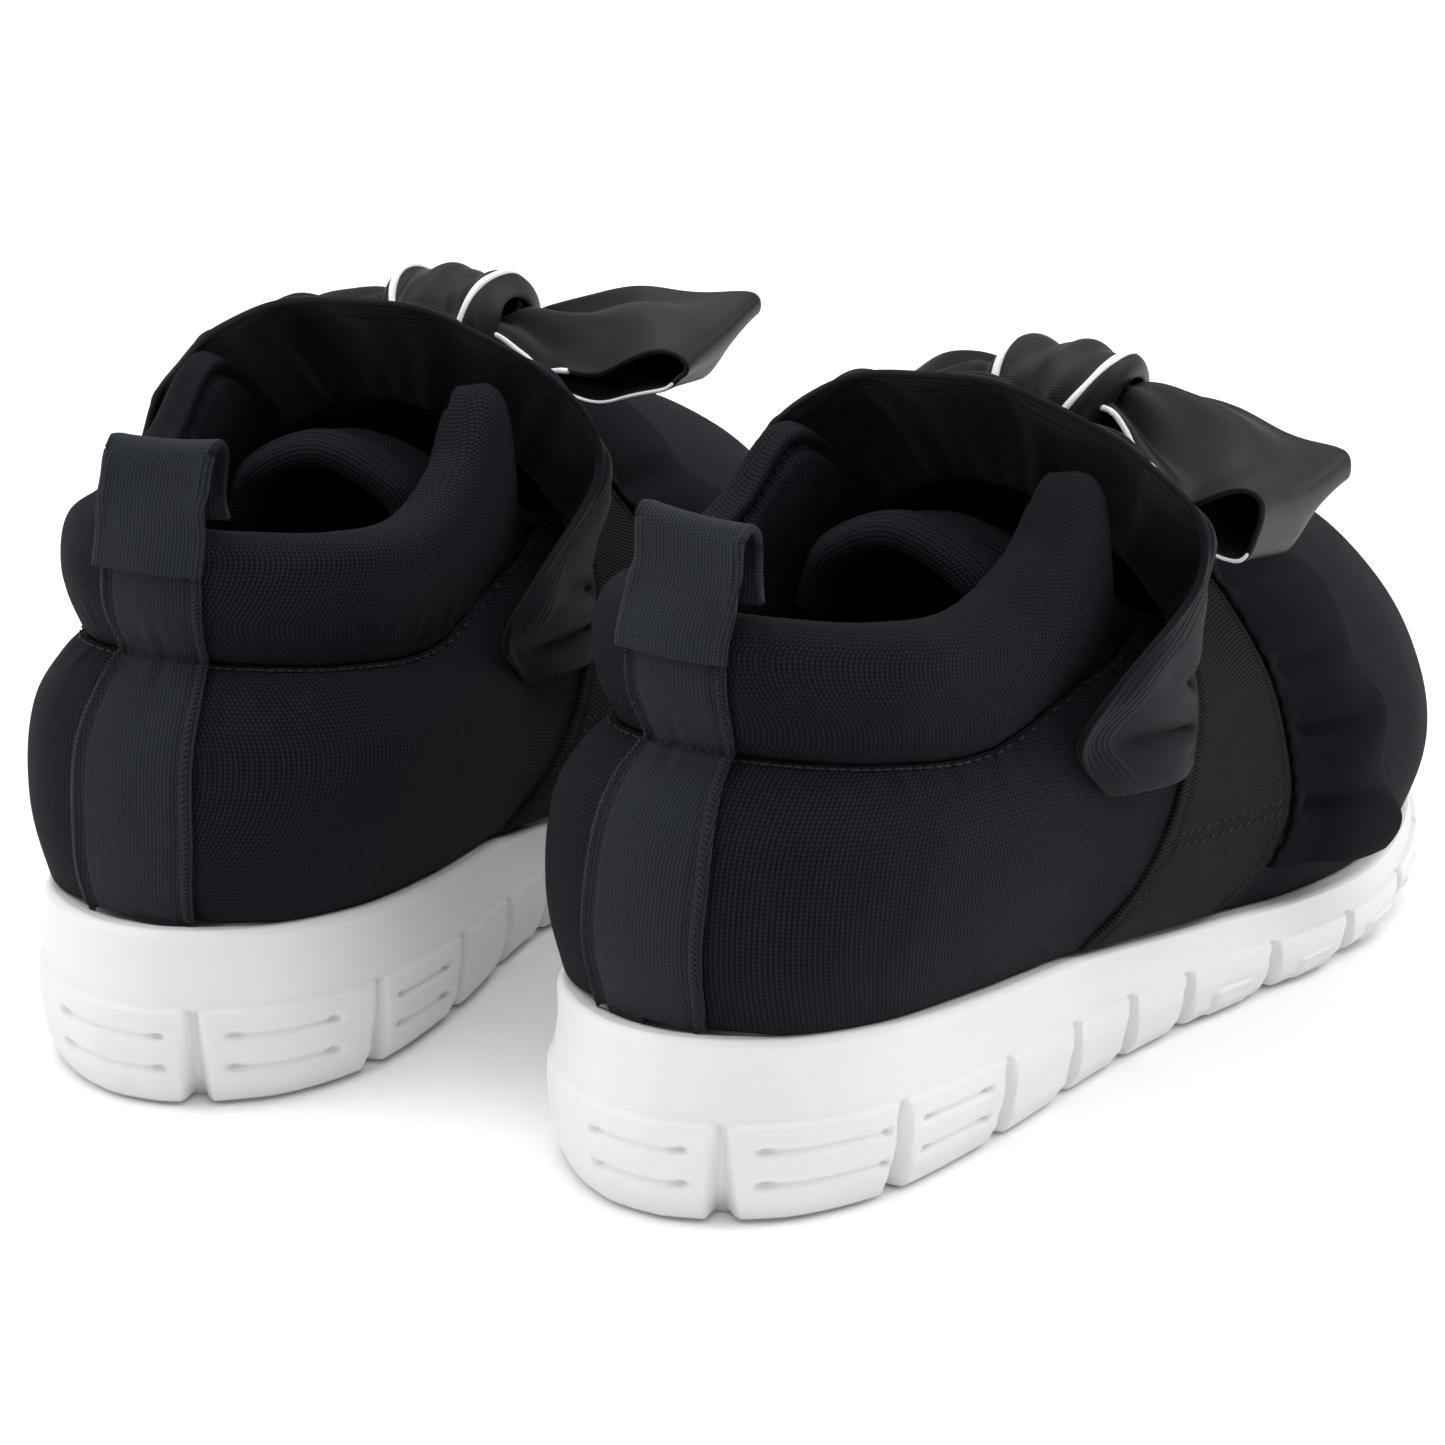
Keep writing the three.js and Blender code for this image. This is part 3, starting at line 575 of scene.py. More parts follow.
def hem_group():
    """Rows of cover stitch along a folded hem, and the hem's inner edge."""
    group, maths, entry, leave = new_group("hem rows", {"Row": 1.25, "Depth": 7.5}, ("Height",))
    u, _ = cloth_uv(group)
    row = maths("POWER", wave(group, u, entry["Row"]), 0.35)
    inside = maths("LESS_THAN", u, entry["Depth"])
    drop = maths("MULTIPLY", maths("SUBTRACT", 1.0, row), inside)
    group.links.new(maths("SUBTRACT", inside, drop), leave["Height"])
    return group


GROUP_MAKERS = {"knit stitches": knit_group, "elastic ribs": rib_group, "twill lines": twill_group,
                "mottle": mottle_group, "hem rows": hem_group}


def group_node(tree, group, **values):
    """A node of a shared group, which is built the first time it is asked for."""
    node = tree.nodes.new("ShaderNodeGroup")
    node.node_tree = bpy.data.node_groups.get(group) or GROUP_MAKERS[group]()
    for label, value in values.items():
        node.inputs[label].default_value = value
    return node


def base_material(name, roughness):
    material = bpy.data.materials.new(name)
    material.use_nodes = True
    tree = material.node_tree
    shader = tree.nodes["Principled BSDF"]
    shader.inputs["Roughness"].default_value = roughness
    return material, tree, shader


def tinted(tree, dark, light, factor):
    """A colour between two, by a factor socket."""
    mix = tree.nodes.new("ShaderNodeMix")
    mix.data_type = "RGBA"
    mix.inputs[6].default_value = (*dark, 1)
    mix.inputs[7].default_value = (*light, 1)
    tree.links.new(factor, mix.inputs[0])
    return mix.outputs[2]


def mottled(tree, colour, strength, scale):
    """A colour with the tone of the mottle group."""
    mottle = group_node(tree, "mottle", Strength=strength, Scale=scale)
    node = tree.nodes.new("ShaderNodeVectorMath")
    node.operation = "SCALE"
    feed(tree, node.inputs[0], colour)
    tree.links.new(mottle.outputs["Tone"], node.inputs["Scale"])
    return node.outputs[0]


def thread_material(name, dark, light):
    """Twisted polyester thread."""
    material, tree, shader = base_material(name, 0.6)
    tree.links.new(tinted(tree, dark, light, noise(tree, 3000)), shader.inputs["Base Color"])
    shader.inputs["Specular IOR Level"].default_value = 0.2
    return material


def cloth_material(name, weave, values, dark, light, bump_mm, roughness, sheen, specular,
                   hem=False):
    """A cloth whose weave gives its relief, and a painted shade and highlight between dark and
    light: dark in the weave's hollows, light on its crowns.
    """
    material, tree, shader = base_material(name, roughness)
    pattern = group_node(tree, weave, **values)
    # the weave's painted shade and painted highlight: the cloth's colour, darker in the weave's
    # hollows and lighter on its crowns
    colour = tinted(tree, dark, light, pattern.outputs["Shade"])
    tree.links.new(mottled(tree, colour, 0.35, 90.0), shader.inputs["Base Color"])
    under = relief(tree, group_node(tree, "hem rows").outputs["Height"], 0.4) if hem else None
    normal = relief(tree, pattern.outputs["Height"], bump_mm, under)
    tree.links.new(normal, shader.inputs["Normal"])
    shader.inputs["Sheen Weight"].default_value = sheen
    shader.inputs["Sheen Roughness"].default_value = 0.5
    shader.inputs["Specular IOR Level"].default_value = specular
    return material


def foam_material(name, colour, roughness, grain_mm):
    """Moulded foam or rubber with a fine skin grain."""
    material, tree, shader = base_material(name, roughness)
    tree.links.new(mottled(tree, colour, 0.05, 40.0), shader.inputs["Base Color"])
    tree.links.new(relief(tree, noise(tree, 1400, 3), grain_mm), shader.inputs["Normal"])
    shader.inputs["Subsurface Weight"].default_value = 0.1
    shader.inputs["Subsurface Radius"].default_value = (0.004, 0.003, 0.0025)
    return material


MATERIALS = {}


def brightened(colour, factor):
    return tuple(part * factor for part in colour)


def make_materials():
    colours = bpy.context.scene.sneaker_colours
    knit, strap, ribbon, pale = colours.knit, colours.strap, colours.ribbon, tuple(colours.sole)
    fine, tape = {"Wale": 0.5, "Course": 0.4}, {"Wale": 0.65, "Course": 0.5}
    cloths = (  # finish, name, weave, its values, colour, dark and light share, relief,
        # roughness, sheen, specular
        ("knit", "neoprene knit", "knit stitches", {"Wale": 0.85, "Course": 0.7}, knit, 0.25, 2.0,
         0.2, 0.75, 0.012, 0.05),
        # tape and loop: the upper's navy knit painted lighter, as painted light on the heel pieces
        ("tape", "tape knit", "knit stitches", tape, knit, 0.7, 3.3, 0.16, 0.8, 0.04, 0.1),
        ("loop", "loop knit", "knit stitches", {**tape, "Turn": 0.8}, knit, 0.7, 3.5, 0.14, 0.8,
         0.04, 0.1),
        # front ruffle: the scuba knit painted darker, as painted shade
        ("ruffle", "scuba knit", "knit stitches", fine, knit, 0.4, 1.0, 0.05, 0.75, 0.01, 0.04),
        # rear ruffle: the same scuba knit painted lighter, as painted light on it; its hem rows are
        # relief only
        ("hemmed", "hemmed scuba knit", "knit stitches", fine, knit, 0.6, 1.7, 0.06, 0.7, 0.04,
         0.08, True),
        ("lining", "lining knit", "knit stitches", {"Wale": 0.8, "Course": 0.6}, knit, 0.3, 0.9,
         0.1, 0.95, 0.02, 0.05),
        ("ribbed", "ribbed elastic", "elastic ribs", {"Rib": 0.76, "Thread": 0.5, "Slope": -0.4},
         strap, 0.3, 1.9, 0.35, 0.85, 0.01, 0.05),
        ("satin", "satin ribbon", "twill lines", {"Pitch": 0.5, "Slope": 0.7}, ribbon, 0.5, 1.1,
         0.03, 0.4, 0.015, 0.14),
    )
    for finish, name, weave, values, colour, dark, light, *rest in cloths:
        MATERIALS[finish] = cloth_material(name, weave, values, brightened(colour, dark),
                                           brightened(colour, light), *rest)
    MATERIALS["piping"] = cloth_material(
        "white piping", "twill lines", {"Pitch": 0.5, "Slope": 1.0}, (0.72, 0.72, 0.74),
        (0.85, 0.85, 0.87), 0.05, 0.7, 0.0, 0.05)
    MATERIALS["thread"] = thread_material("black thread", brightened(strap, 0.5),
                                          brightened(strap, 2.6))
    for finish, name, colour, roughness, grain in (
            ("eva", "moulded foam", pale, 0.5, 0.03),
            ("outsole", "outsole rubber", brightened(pale, 0.97), 0.55, 0.04),
            ("board", "fibre board", (0.62, 0.58, 0.5), 0.9, 0.06),
            ("stiffener", "stiffener sheet", (0.55, 0.53, 0.48), 0.7, 0.04),
            ("foam", "collar foam", (0.28, 0.28, 0.3), 0.95, 0.1)):
        MATERIALS[finish] = foam_material(name, colour, roughness, grain)


# ---- settings ----

class SneakerColours(bpy.types.PropertyGroup):
    knit: bpy.props.FloatVectorProperty(
        name="Knit", description="Neoprene knit of the upper", subtype="COLOR", size=3,
        default=(0.0072, 0.0086, 0.0122), min=0, max=1)
    strap: bpy.props.FloatVectorProperty(
        name="Strap", description="Ribbed elastic strap", subtype="COLOR", size=3,
        default=(0.0095, 0.0100, 0.0112), min=0, max=1)
    ribbon: bpy.props.FloatVectorProperty(
        name="Ribbon", description="Satin ribbon of the bow", subtype="COLOR", size=3,
        default=(0.0076, 0.0080, 0.0086), min=0, max=1)
    sole: bpy.props.FloatVectorProperty(
        name="Sole", description="Moulded foam sole", subtype="COLOR", size=3,
        default=(0.735, 0.733, 0.72), min=0, max=1)


class SneakerSizes(bpy.types.PropertyGroup):
    upper_thickness: bpy.props.FloatProperty(
        name="Upper thickness", description="Bonded knit and foam of the upper", unit="LENGTH",
        default=2.2 * MM)
    groove_depth: bpy.props.FloatProperty(
        name="Groove depth", description="Depth of the notches between the sole's lugs",
        unit="LENGTH", default=4.6 * MM)


def sizes():
    return bpy.context.scene.sneaker_sizes


# ---- sole ----
WALL_ROWS = 72
BOTTOM_ROWS = 12
TOP_ROWS = 9
ALL_ROWS = BOTTOM_ROWS + WALL_ROWS + TOP_ROWS
SOLE_COLUMNS = 640


def sole_outline(count):
    """Points round the sole's rim, from the heel's middle over the outer side, by arc length."""
    table = np.array(SOLE_HALF_WIDTH, float)
    fine = spline(table, np.linspace(0, len(table) - 1, 900))
    lateral = np.stack([fine[:, 1], fine[:, 0]], 1)
    loop = np.vstack([[0, fine[0, 0]], lateral, [0, fine[-1, 0]], lateral[::-1] * [-1, 1]])
    length = np.concatenate([[0], np.cumsum(np.linalg.norm(np.diff(loop, axis=0), axis=1))])
    wanted = np.linspace(0, length[-1], count)
    return np.stack([np.interp(wanted, length, loop[:, k]) for k in (0, 1)], 1)


def sole_surface(heel_groove):
    """place(a, b) for the whole sole: b runs from the middle underneath, up the wall, to the
    middle on top. heel_groove is where the notch in the heel is."""
    count = 2400
    line = sole_outline(count + 1)[:-1]
    step = np.roll(line, -3, 0) - np.roll(line, 3, 0)
    outward = np.stack([step[:, 1], -step[:, 0]], 1)
    outward /= np.linalg.norm(outward, axis=1, keepdims=True)
    line, outward = (np.vstack([table, table[:1]]) for table in (line, outward))
    places = np.linspace(0, 1, count + 1)

    def at(a, table):
        return np.stack([np.interp(a, places, table[:, k]) for k in (0, 1)], 1)

    def groove_reach(h, y, x):
        """1 in the middle of a groove and 0 outside it, and its width for that height."""
        width = 2.5 - 1.6 * np.clip(h / lug_top(y), 0, 1)
        reach = np.zeros_like(h)
        for groove in GROOVES:
            reach = np.maximum(reach, 1 - ramp(np.abs(y - groove), width * 0.25, width))
        heel = (y < 14) & (np.abs(x) < 24)
        return np.where(heel, 1 - ramp(np.abs(x - heel_groove), width * 0.25, width), reach)

    def place(a, b):
        rim = at(a, line)
        away = at(a, outward)
        away /= np.linalg.norm(away, axis=1, keepdims=True)
        x, y = rim[:, 0], rim[:, 1]
        low = ground_line(y) + UNDERSIDE
        high = sole_top(y)
        row = b * ALL_ROWS
        h = np.clip((row - BOTTOM_ROWS) / WALL_ROWS, 0, 1)
        inward_below = np.clip(1 - row / BOTTOM_ROWS, 0, 1)
        inward_above = np.clip((row - BOTTOM_ROWS - WALL_ROWS) / TOP_ROWS, 0, 1)
        lug = lug_top(y)
        lean = 1.5 * ramp(h, 0, 0.16) - 2.0 + 0.9 * ramp(h, 0.1, 0.4) * (1 - ramp(h, 0.45, 1.0))
        lean = lean + 0.8 * (1 - ramp(h, lug - 0.01, lug + 0.01)) - 0.4 * bump(h, 0.78, 0.14)
        lean = lean + 0.5 * ramp(h, 0.0, 0.02) - 0.9 * ramp(h, 0.965, 1.0)
        reach = groove_reach(h, y, x)
        below = 1 - ramp(h, lug - 0.02, lug + 0.01)
        depth = sizes().groove_depth / MM * (0.35 + 0.65 * (1 - np.clip(h / lug, 0, 1)))
        lean = lean - reach * below * depth
        lean = lean - slot_depth(x, y, h, lug, heel_groove) * below
        lean = lean + tread_ribs(y, h, lug)
        z = low + (high - low) * h
        wall = rim + away * lean[:, None]
        # underneath and on top the rings close in on the shoe's middle line
        middle = np.stack([np.zeros_like(y), np.clip(y, 26, 190)], 1)
        shrink = np.where(inward_below > 0, inward_below, inward_above)
        shrink = np.where(inward_above > 0, top_shrink(inward_above), shrink)
        flat = wall + (middle - wall) * shrink[:, None]
        cross = np.zeros_like(y)
        for groove in FLEX_GROOVES:
            cross = np.maximum(cross, 1 - ramp(np.abs(flat[:, 1] - groove), 1.0, 2.6))
        z = z + 5.5 * cross * ramp(inward_below, 0.0, 0.05)
        z = z - 2.2 * ramp(inward_above, 0.5, 0.62)
        return swung(np.column_stack([flat, z]))

    return place


def lug_top(y):
    """Height of the lugs' upper edge, as a share of the wall."""
    return 0.56 + 0.06 * ramp(y, 60, 150)


def top_shrink(t):
    """The rim is a narrow flat before the footbed drops away."""
    return np.where(t < 0.5, t * 0.16, 0.08 + (t - 0.5) * 1.84)


def slot_depth(x, y, h, lug, heel_groove):
    """Two level slots in each rear lug, deeper at their ends."""
    level = h / lug
    rows = bump(level, 0.40, 0.035) + bump(level, 0.74, 0.035)

    def cut(at, start, end, inset, width):
        inside = ramp(at, start, start + 0.8) * (1 - ramp(at, end - 0.8, end))
        ends = bump(at, start + inset, width) + bump(at, end - inset, width)
        return inside * (0.55 + 0.9 * ends)

    depth = cut(y, 33.0, 51.0, 1.6, 1.3)
    round_heel = np.where(np.abs(x) > 20, np.sign(x) * (20 + (y - 9)), x)
    for start, end in ((heel_groove + 4, heel_groove + 25), (heel_groove - 21, heel_groove - 4)):
        deeper = np.maximum(depth, cut(round_heel, start, end, 1.4, 1.2))
        depth = np.where(y < 26, deeper, depth)
    return rows * depth


def tread_ribs(y, h, lug):
    """Small upright ribs low on the forefoot lugs."""
    raised_by = np.zeros_like(y)
    for start in (120.0, 143.5, 165.0, 184.0):
        inside = ramp(y, start, start + 0.6) * (1 - ramp(y, start + 9.4, start + 10))
        ribs = 0.35 + 0.45 * np.abs(np.sin(math.pi * (y - start) / 1.7))
        raised_by = np.maximum(raised_by, inside * ribs * (1 - ramp(h / lug, 0.45, 0.5)))
    return raised_by


class SNEAKER_OT_sole(bpy.types.Operator):
    """The moulded foam sole with its lugs, grooves and slots"""
    bl_idname = "sneaker.sole"
    bl_label = "Sole"

    def execute(self, context):
        for side in SIDES:
            bm = carried_grid(SOLE_COLUMNS, ALL_ROWS, sole_surface(HEEL_GROOVE_X[side]), merge=0.02)
            hand_over(bm, "midsole", "eva", ("midsole_rear", "midsole_toe"), body="bend",
                      sides=(side,))
        return {"FINISHED"}


# ---- upper panels ----

def seam_up(station):
    """Where the quarters end and the collar begins: the seam rises towards the front."""
    station = np.abs(station)
    return SEAM_UP + 0.045 * ramp(station, 3, 4.1) + 0.05 * ramp(station, 4.1, 5)


def quarter_height(station, b):
    pinch = 1.7 + 0.9 * bump(station, 0, 1.2)
    height = 1.2 * np.sin(math.pi * b) + edge_fall(1 - b, 0.17, pinch) + edge_fall(b, 0.05, 0.5)
    pucker = 0.16 * np.sin(station * 19) + 0.1 * np.sin(station * 31 + 1)
    return height + pucker * ramp(b, 0.8, 0.94)


def quarter_point(station, b, lift=0.0):
    up = b * (seam_up(station) - 0.004)
    return raised(round_shoe, station, up, quarter_height(station, b) + lift)


class SNEAKER_OT_quarters(bpy.types.Operator):
    """Padded side and heel panels under the collar seam"""
    bl_idname = "sneaker.quarters"
    bl_label = "Quarters"

    def execute(self, context):
        start, end = 0.02, 5.32
        for side, name in ((1, "quarter_lateral"), (-1, "quarter_medial")):
            def place(a, b):
                station = start + (end - start) * a if side > 0 else -(end - (end - start) * a)
                return quarter_point(station, b)

            bm = carried_grid(110, 56, place)
            hand_over(bm, name, "knit", wall=sizes().upper_thickness / MM)
        return {"FINISHED"}


def vamp_start(across):
    up = 1 - np.abs(across - 0.5) * 2
    return 6 - 0.6 * ramp(up, 0.25, 0.5)


def vamp_point(a, b, lift=0.0):
    first = vamp_start(b)
    station = first + (TIP - first) * a ** 0.9
    height = edge_fall(b, 0.03, 0.7) + edge_fall(1 - b, 0.03, 0.7)
    return raised(over_shoe, station, b, height + lift)


class SNEAKER_OT_vamp(bpy.types.Operator):
    """The padded toe box, and the side elastics at its rear corners"""
    bl_idname = "sneaker.vamp"
    bl_label = "Vamp"

    def execute(self, context):
        bm = carried_grid(80, 120, vamp_point, merge=0.05)
        hand_over(bm, "vamp", "knit", wall=sizes().upper_thickness / MM,
                                 body="bend")
        for side, name in ((1, "side_gore_lateral"), (-1, "side_gore_medial")):
            def place(a, b):
                station = 5.34 + 0.62 * a if side > 0 else -5.96 + 0.62 * a
                return raised(round_shoe, station, b * 0.22, 0.2 + edge_fall(b, 0.1, 0.8))

            bm = carried_grid(24, 20, place)
            pieces = hand_over(bm, name, "ribbed", wall=2.0, body="bend")
        return {"FINISHED"}


# ---- collar ----

CHANNEL = 0.66  # the stitched line inside the mouth


def collar_height(station, b):
    pinch = 1.5 + 0.9 * bump(station, 0, 1.2)
    height = 0.9 * np.sin(math.pi * np.clip(b * 2, 0, 1)) * (b < 0.5) + edge_fall(b, 0.16, pinch)
    height = height - 1.9 * bump(b, CHANNEL, 0.022) + 0.4 * bump(b, CHANNEL - 0.06, 0.03)
    pucker = 0.14 * np.sin(station * 23) + 0.1 * np.sin(station * 37)
    return height + pucker * ((1 - ramp(b, 0.05, 0.14)) + bump(b, CHANNEL, 0.05))


def collar_surface(station, b, lift=0.0):
    """The collar's skin, from its seam with the quarters over the top and down inside. Its last
    stretch closes down to a thin edge under the strap."""
    skin = raised(collar_point, station, b, collar_height(station, b) + lift)
    seam = quarter_point(station, 0 * np.asarray(station, float) + 1, lift - 0.3)
    skin = seam + (skin - seam) * ramp(b, -0.02, 0.1)[..., None]
    core = 0.5 * (collar_point(station, b) + collar_point(station, 1 - np.asarray(b, float)))
    flat = ramp(np.abs(station), 5.1, 6.0)[..., None] * 0.6
    return skin + (core - skin) * flat


class SNEAKER_OT_collar(bpy.types.Operator):
    """The padded collar with its stitched line, and the foam inside it"""
    bl_idname = "sneaker.collar"
    bl_label = "Collar"

    def execute(self, context):
        def skin(a, b):
            return collar_surface((a * 2 - 1) * (COLLAR_END - 0.05), b)

        bm = carried_grid(200, 64, skin)
        hand_over(bm, "collar", "knit", ("collar_cover",), 1.4)

        def foam(a, b):
            station = (a * 2 - 1) * 4.6
            around = 0.08 + 0.84 * b
            core = 0.5 * (collar_point(station, around) + collar_point(station, 1 - around))
            skin = collar_point(station, around)
            inner = core + (skin - core) * 0.5
            inner[:, 2] -= 3.6 * np.sin(math.pi * around)
            return inner

        bm = carried_grid(60, 20, foam)
        rim = [edge for edge in bm.edges if edge.is_boundary]
        bmesh.ops.holes_fill(bm, edges=rim, sides=0)
        bmesh.ops.recalc_face_normals(bm, faces=bm.faces)
        hand_over(bm, "collar_foam", "foam")
        return {"FINISHED"}


# ---- heel tape and pull loop ----
TAPE_HALF = 0.5
TAPE_LENGTH_SHARE = 0.61


def heel_surface(station, b, lift):
    """The line up the heel: over the quarters, then over the collar to its top."""
    station, b = np.asarray(station, float), np.asarray(b, float)
    low = quarter_point(station, np.clip(b / TAPE_LENGTH_SHARE, 0.012, 1), lift)
    high = collar_surface(station, np.clip(b - TAPE_LENGTH_SHARE, 0.0, 0.5), lift)
    mixed = ramp(b, TAPE_LENGTH_SHARE - 0.012, TAPE_LENGTH_SHARE + 0.012)[..., None]
    return low + (high - low) * mixed


def tape_point(a, b, lift=0.0):
    """Raised cords along the tape's edges, and a channel inside each for its stitches."""
    from_edge = np.minimum(a, 1 - a) * LOOP_WIDTH
    rim = 0.45 * bump(from_edge, 1.0, 0.75) - 0.35 * bump(from_edge, 2.3, 0.4)
    across_seam = 0.9 * bump(b, TAPE_LENGTH_SHARE, 0.02) - 0.35 * bump(b, TAPE_LENGTH_SHARE, 0.008)
    crown = 0.5 * np.sin(math.pi * a)
    wander = 0.008 * np.sin(b * 21)
    station = -TAPE_HALF + 2 * TAPE_HALF * a + wander
    return heel_surface(station, b, 1.15 + rim + across_seam + crown + lift)


def loop_profile(t):
    """The loop's middle line seen from the side, from the tape over the top and down to the
    collar: (y, z) from its pivot, t from 0 to 1."""
    line = np.array([
        (-8.8, -7.2), (-8.2, -4.6), (-7.2, -1.8), (-5.9, 1.0), (-4.8, 3.8), (-3.9, 6.6),
        (-3.4, 9.4), (-2.5, 11.6), (-0.9, 12.8), (1.0, 12.5), (2.1, 10.6), (2.1, 7.6), (1.6, 4.6),
        (1.1, 2.2), (0.9, 0.2),
    ])
    return spline(line, np.asarray(t) * (len(line) - 1))


class SNEAKER_OT_tape(bpy.types.Operator):
    """The knit tape up the heel and the pull loop folded from it"""
    bl_idname = "sneaker.tape"
    bl_label = "Heel tape and pull loop"

    def execute(self, context):
        bm = carried_grid(44, 150, lambda a, b: tape_point(a, b * 0.985))
        hand_over(bm, "heel_tape", "tape", wall=1.0)

        def place(a, b):
            y, z = loop_profile(b).T
            x = (a - 0.5) * LOOP_WIDTH
            height = np.clip(z / 13, 0, 1)
            sag = -0.5 * np.cos(math.pi * (a - 0.5)) * ramp(z, 9, 12)
            tilt = -0.05 * x * ramp(z, 6, 12)
            roll = 0.7 * edge_fall(np.minimum(a, 1 - a), 0.09, 1.0)
            away = np.sign(b - 0.5) * (-roll) * ramp(z, 2, 6)
            bulge = 0.6 * np.sin(3 * a + 1) * ramp(z, 2, 6) * (1 - ramp(z, 10, 12))
            rim = 0.25 * bump(np.minimum(a, 1 - a) * LOOP_WIDTH, 1.0, 0.7)
            y = y - away + bulge * 0.5 - np.sign(0.5 - b) * rim
            y = y + 1.3 * (2 * a - 1) ** 2 * (1 - ramp(z, -2, 4))  # follows the tape round the heel
            x = x * (1 - 0.035 * np.sin(math.pi * height)) + 0.3 * np.sin(z * 0.35)
            return np.column_stack([x + swing(LOOP_PIVOT[0]), LOOP_PIVOT[0] + y,
                                    LOOP_PIVOT[1] + z + sag + tilt])

        bm = carried_grid(40, 96, place)
        pieces = hand_over(bm, "pull_loop", "loop", wall=1.25, offset=0.0, body="loop_bend")
        return {"FINISHED"}


# ---- inner layers ----
LINING_DEPTH = -4.8
STIFFENER_DEPTH = -3.4


class SNEAKER_OT_linings(bpy.types.Operator):
    """Linings, heel counter and toe puff behind the outer panels"""
    bl_idname = "sneaker.linings"
    bl_label = "Linings and stiffeners"

    def execute(self, context):
        layers = (
            ("quarter_lining", "lining", 0.8, "shoe", (90, 24), (0.230, 0.034), LINING_DEPTH,
             round_shoe, lambda a, b: (-5.2 + 10.4 * a, 0.02 + 0.48 * b)),
            ("heel_counter", "stiffener", 0.9, "shoe", (50, 16), (0.125, 0.030), STIFFENER_DEPTH,
             round_shoe, lambda a, b: (-2.8 + 5.6 * a, 0.03 + 0.47 * b)),
            ("vamp_lining", "lining", 0.8, "bend", (60, 60), (0.105, 0.140), LINING_DEPTH,
             over_shoe, lambda a, b: (6.1 + 5.9 * a ** 0.9, 0.02 + 0.96 * b)),
            ("toe_puff", "stiffener", 0.9, "bend", (30, 60), (0.045, 0.125), STIFFENER_DEPTH,
             over_shoe, lambda a, b: (9.2 + 2.8 * a, 0.03 + 0.94 * b)),
        )
        for name, look, wall, body, grid, flat, depth, surface, reach in layers:
            bm = carried_grid(*grid, lambda a, b: raised(surface, *reach(a, b), a * 0 + depth),
                              merge=0.05)
            hand_over(bm, name, look, wall=wall, body=body)
        return {"FINISHED"}


class SNEAKER_OT_footbed(bpy.types.Operator):
    """Insole and strobel board on the sole, and the rubber pads under it"""
    bl_idname = "sneaker.footbed"
    bl_label = "Footbed and outsole pads"

    def execute(self, context):
        slabs = (
            ("strobel_board", "board", "bend", (13.0, 213.5), 10.5, sole_top, (0.4, 1.9), 0.4),
            ("insole", "lining", "bend", (13.0, 213.5), 10.5, sole_top, (2.3, 6.3), 1.2),
            ("heel_outsole_pad", "outsole", "shoe", (5.5, 92.0), 5.0, ground_line,
             (0.0, OUTSOLE_PAD), 0.5),
            ("forefoot_outsole_pad", "outsole", "bend", (100.0, 152.0), 5.0, ground_line,
             (0.0, OUTSOLE_PAD), 0.5),
            ("toe_outsole_pad", "outsole", "bend", (161.0, 216.0), 5.0, ground_line,
             (0.0, OUTSOLE_PAD), 0.5),
        )
        widths = np.array(SOLE_HALF_WIDTH, float)
        fine = spline(widths, np.linspace(0, len(widths) - 1, 600))
        for name, look, body, (start, end), inset, base, (bottom, top), bevel in slabs:
            def place(a, b):
                y = start + (end - start) * (0.5 - 0.5 * np.cos(math.pi * a))
                half = np.interp(y, fine[:, 0], fine[:, 1]) - inset
                heel = np.sqrt(1 - (1 - np.clip((y - inset) / 12, 0, 1)) ** 2)
                toe = np.sqrt(1 - (1 - np.clip((SOLE_LENGTH - inset - y) / 14, 0, 1)) ** 2)
                half = np.maximum(2, half * np.minimum(heel, toe))
                angle = 2 * math.pi * b
                wide, tall = -np.cos(angle), np.sin(angle)
                square = np.maximum(np.abs(wide), np.abs(tall))
                low, high = base(y) + bottom, base(y) + top
                soften = bevel * (1 - np.abs(np.abs(wide) - np.abs(tall)) ** 0.5)
                x = wide / square * (half - soften)
                z = (low + high) / 2 + tall / square * ((high - low) / 2 - soften * 0.3)
                end_cap = (a < 1e-6) | (a > 1 - 1e-6)
                x = x * np.where(end_cap, 0.0, 1)
                z = np.where(end_cap, (low + high) / 2, z)
                return swung(np.column_stack([x, y, z]))

            bm = carried_grid(96, 48, place, merge=0.02)
            bmesh.ops.recalc_face_normals(bm, faces=bm.faces)
            hand_over(bm, name, look, body=body)
        return {"FINISHED"}


# ---- tongue ----

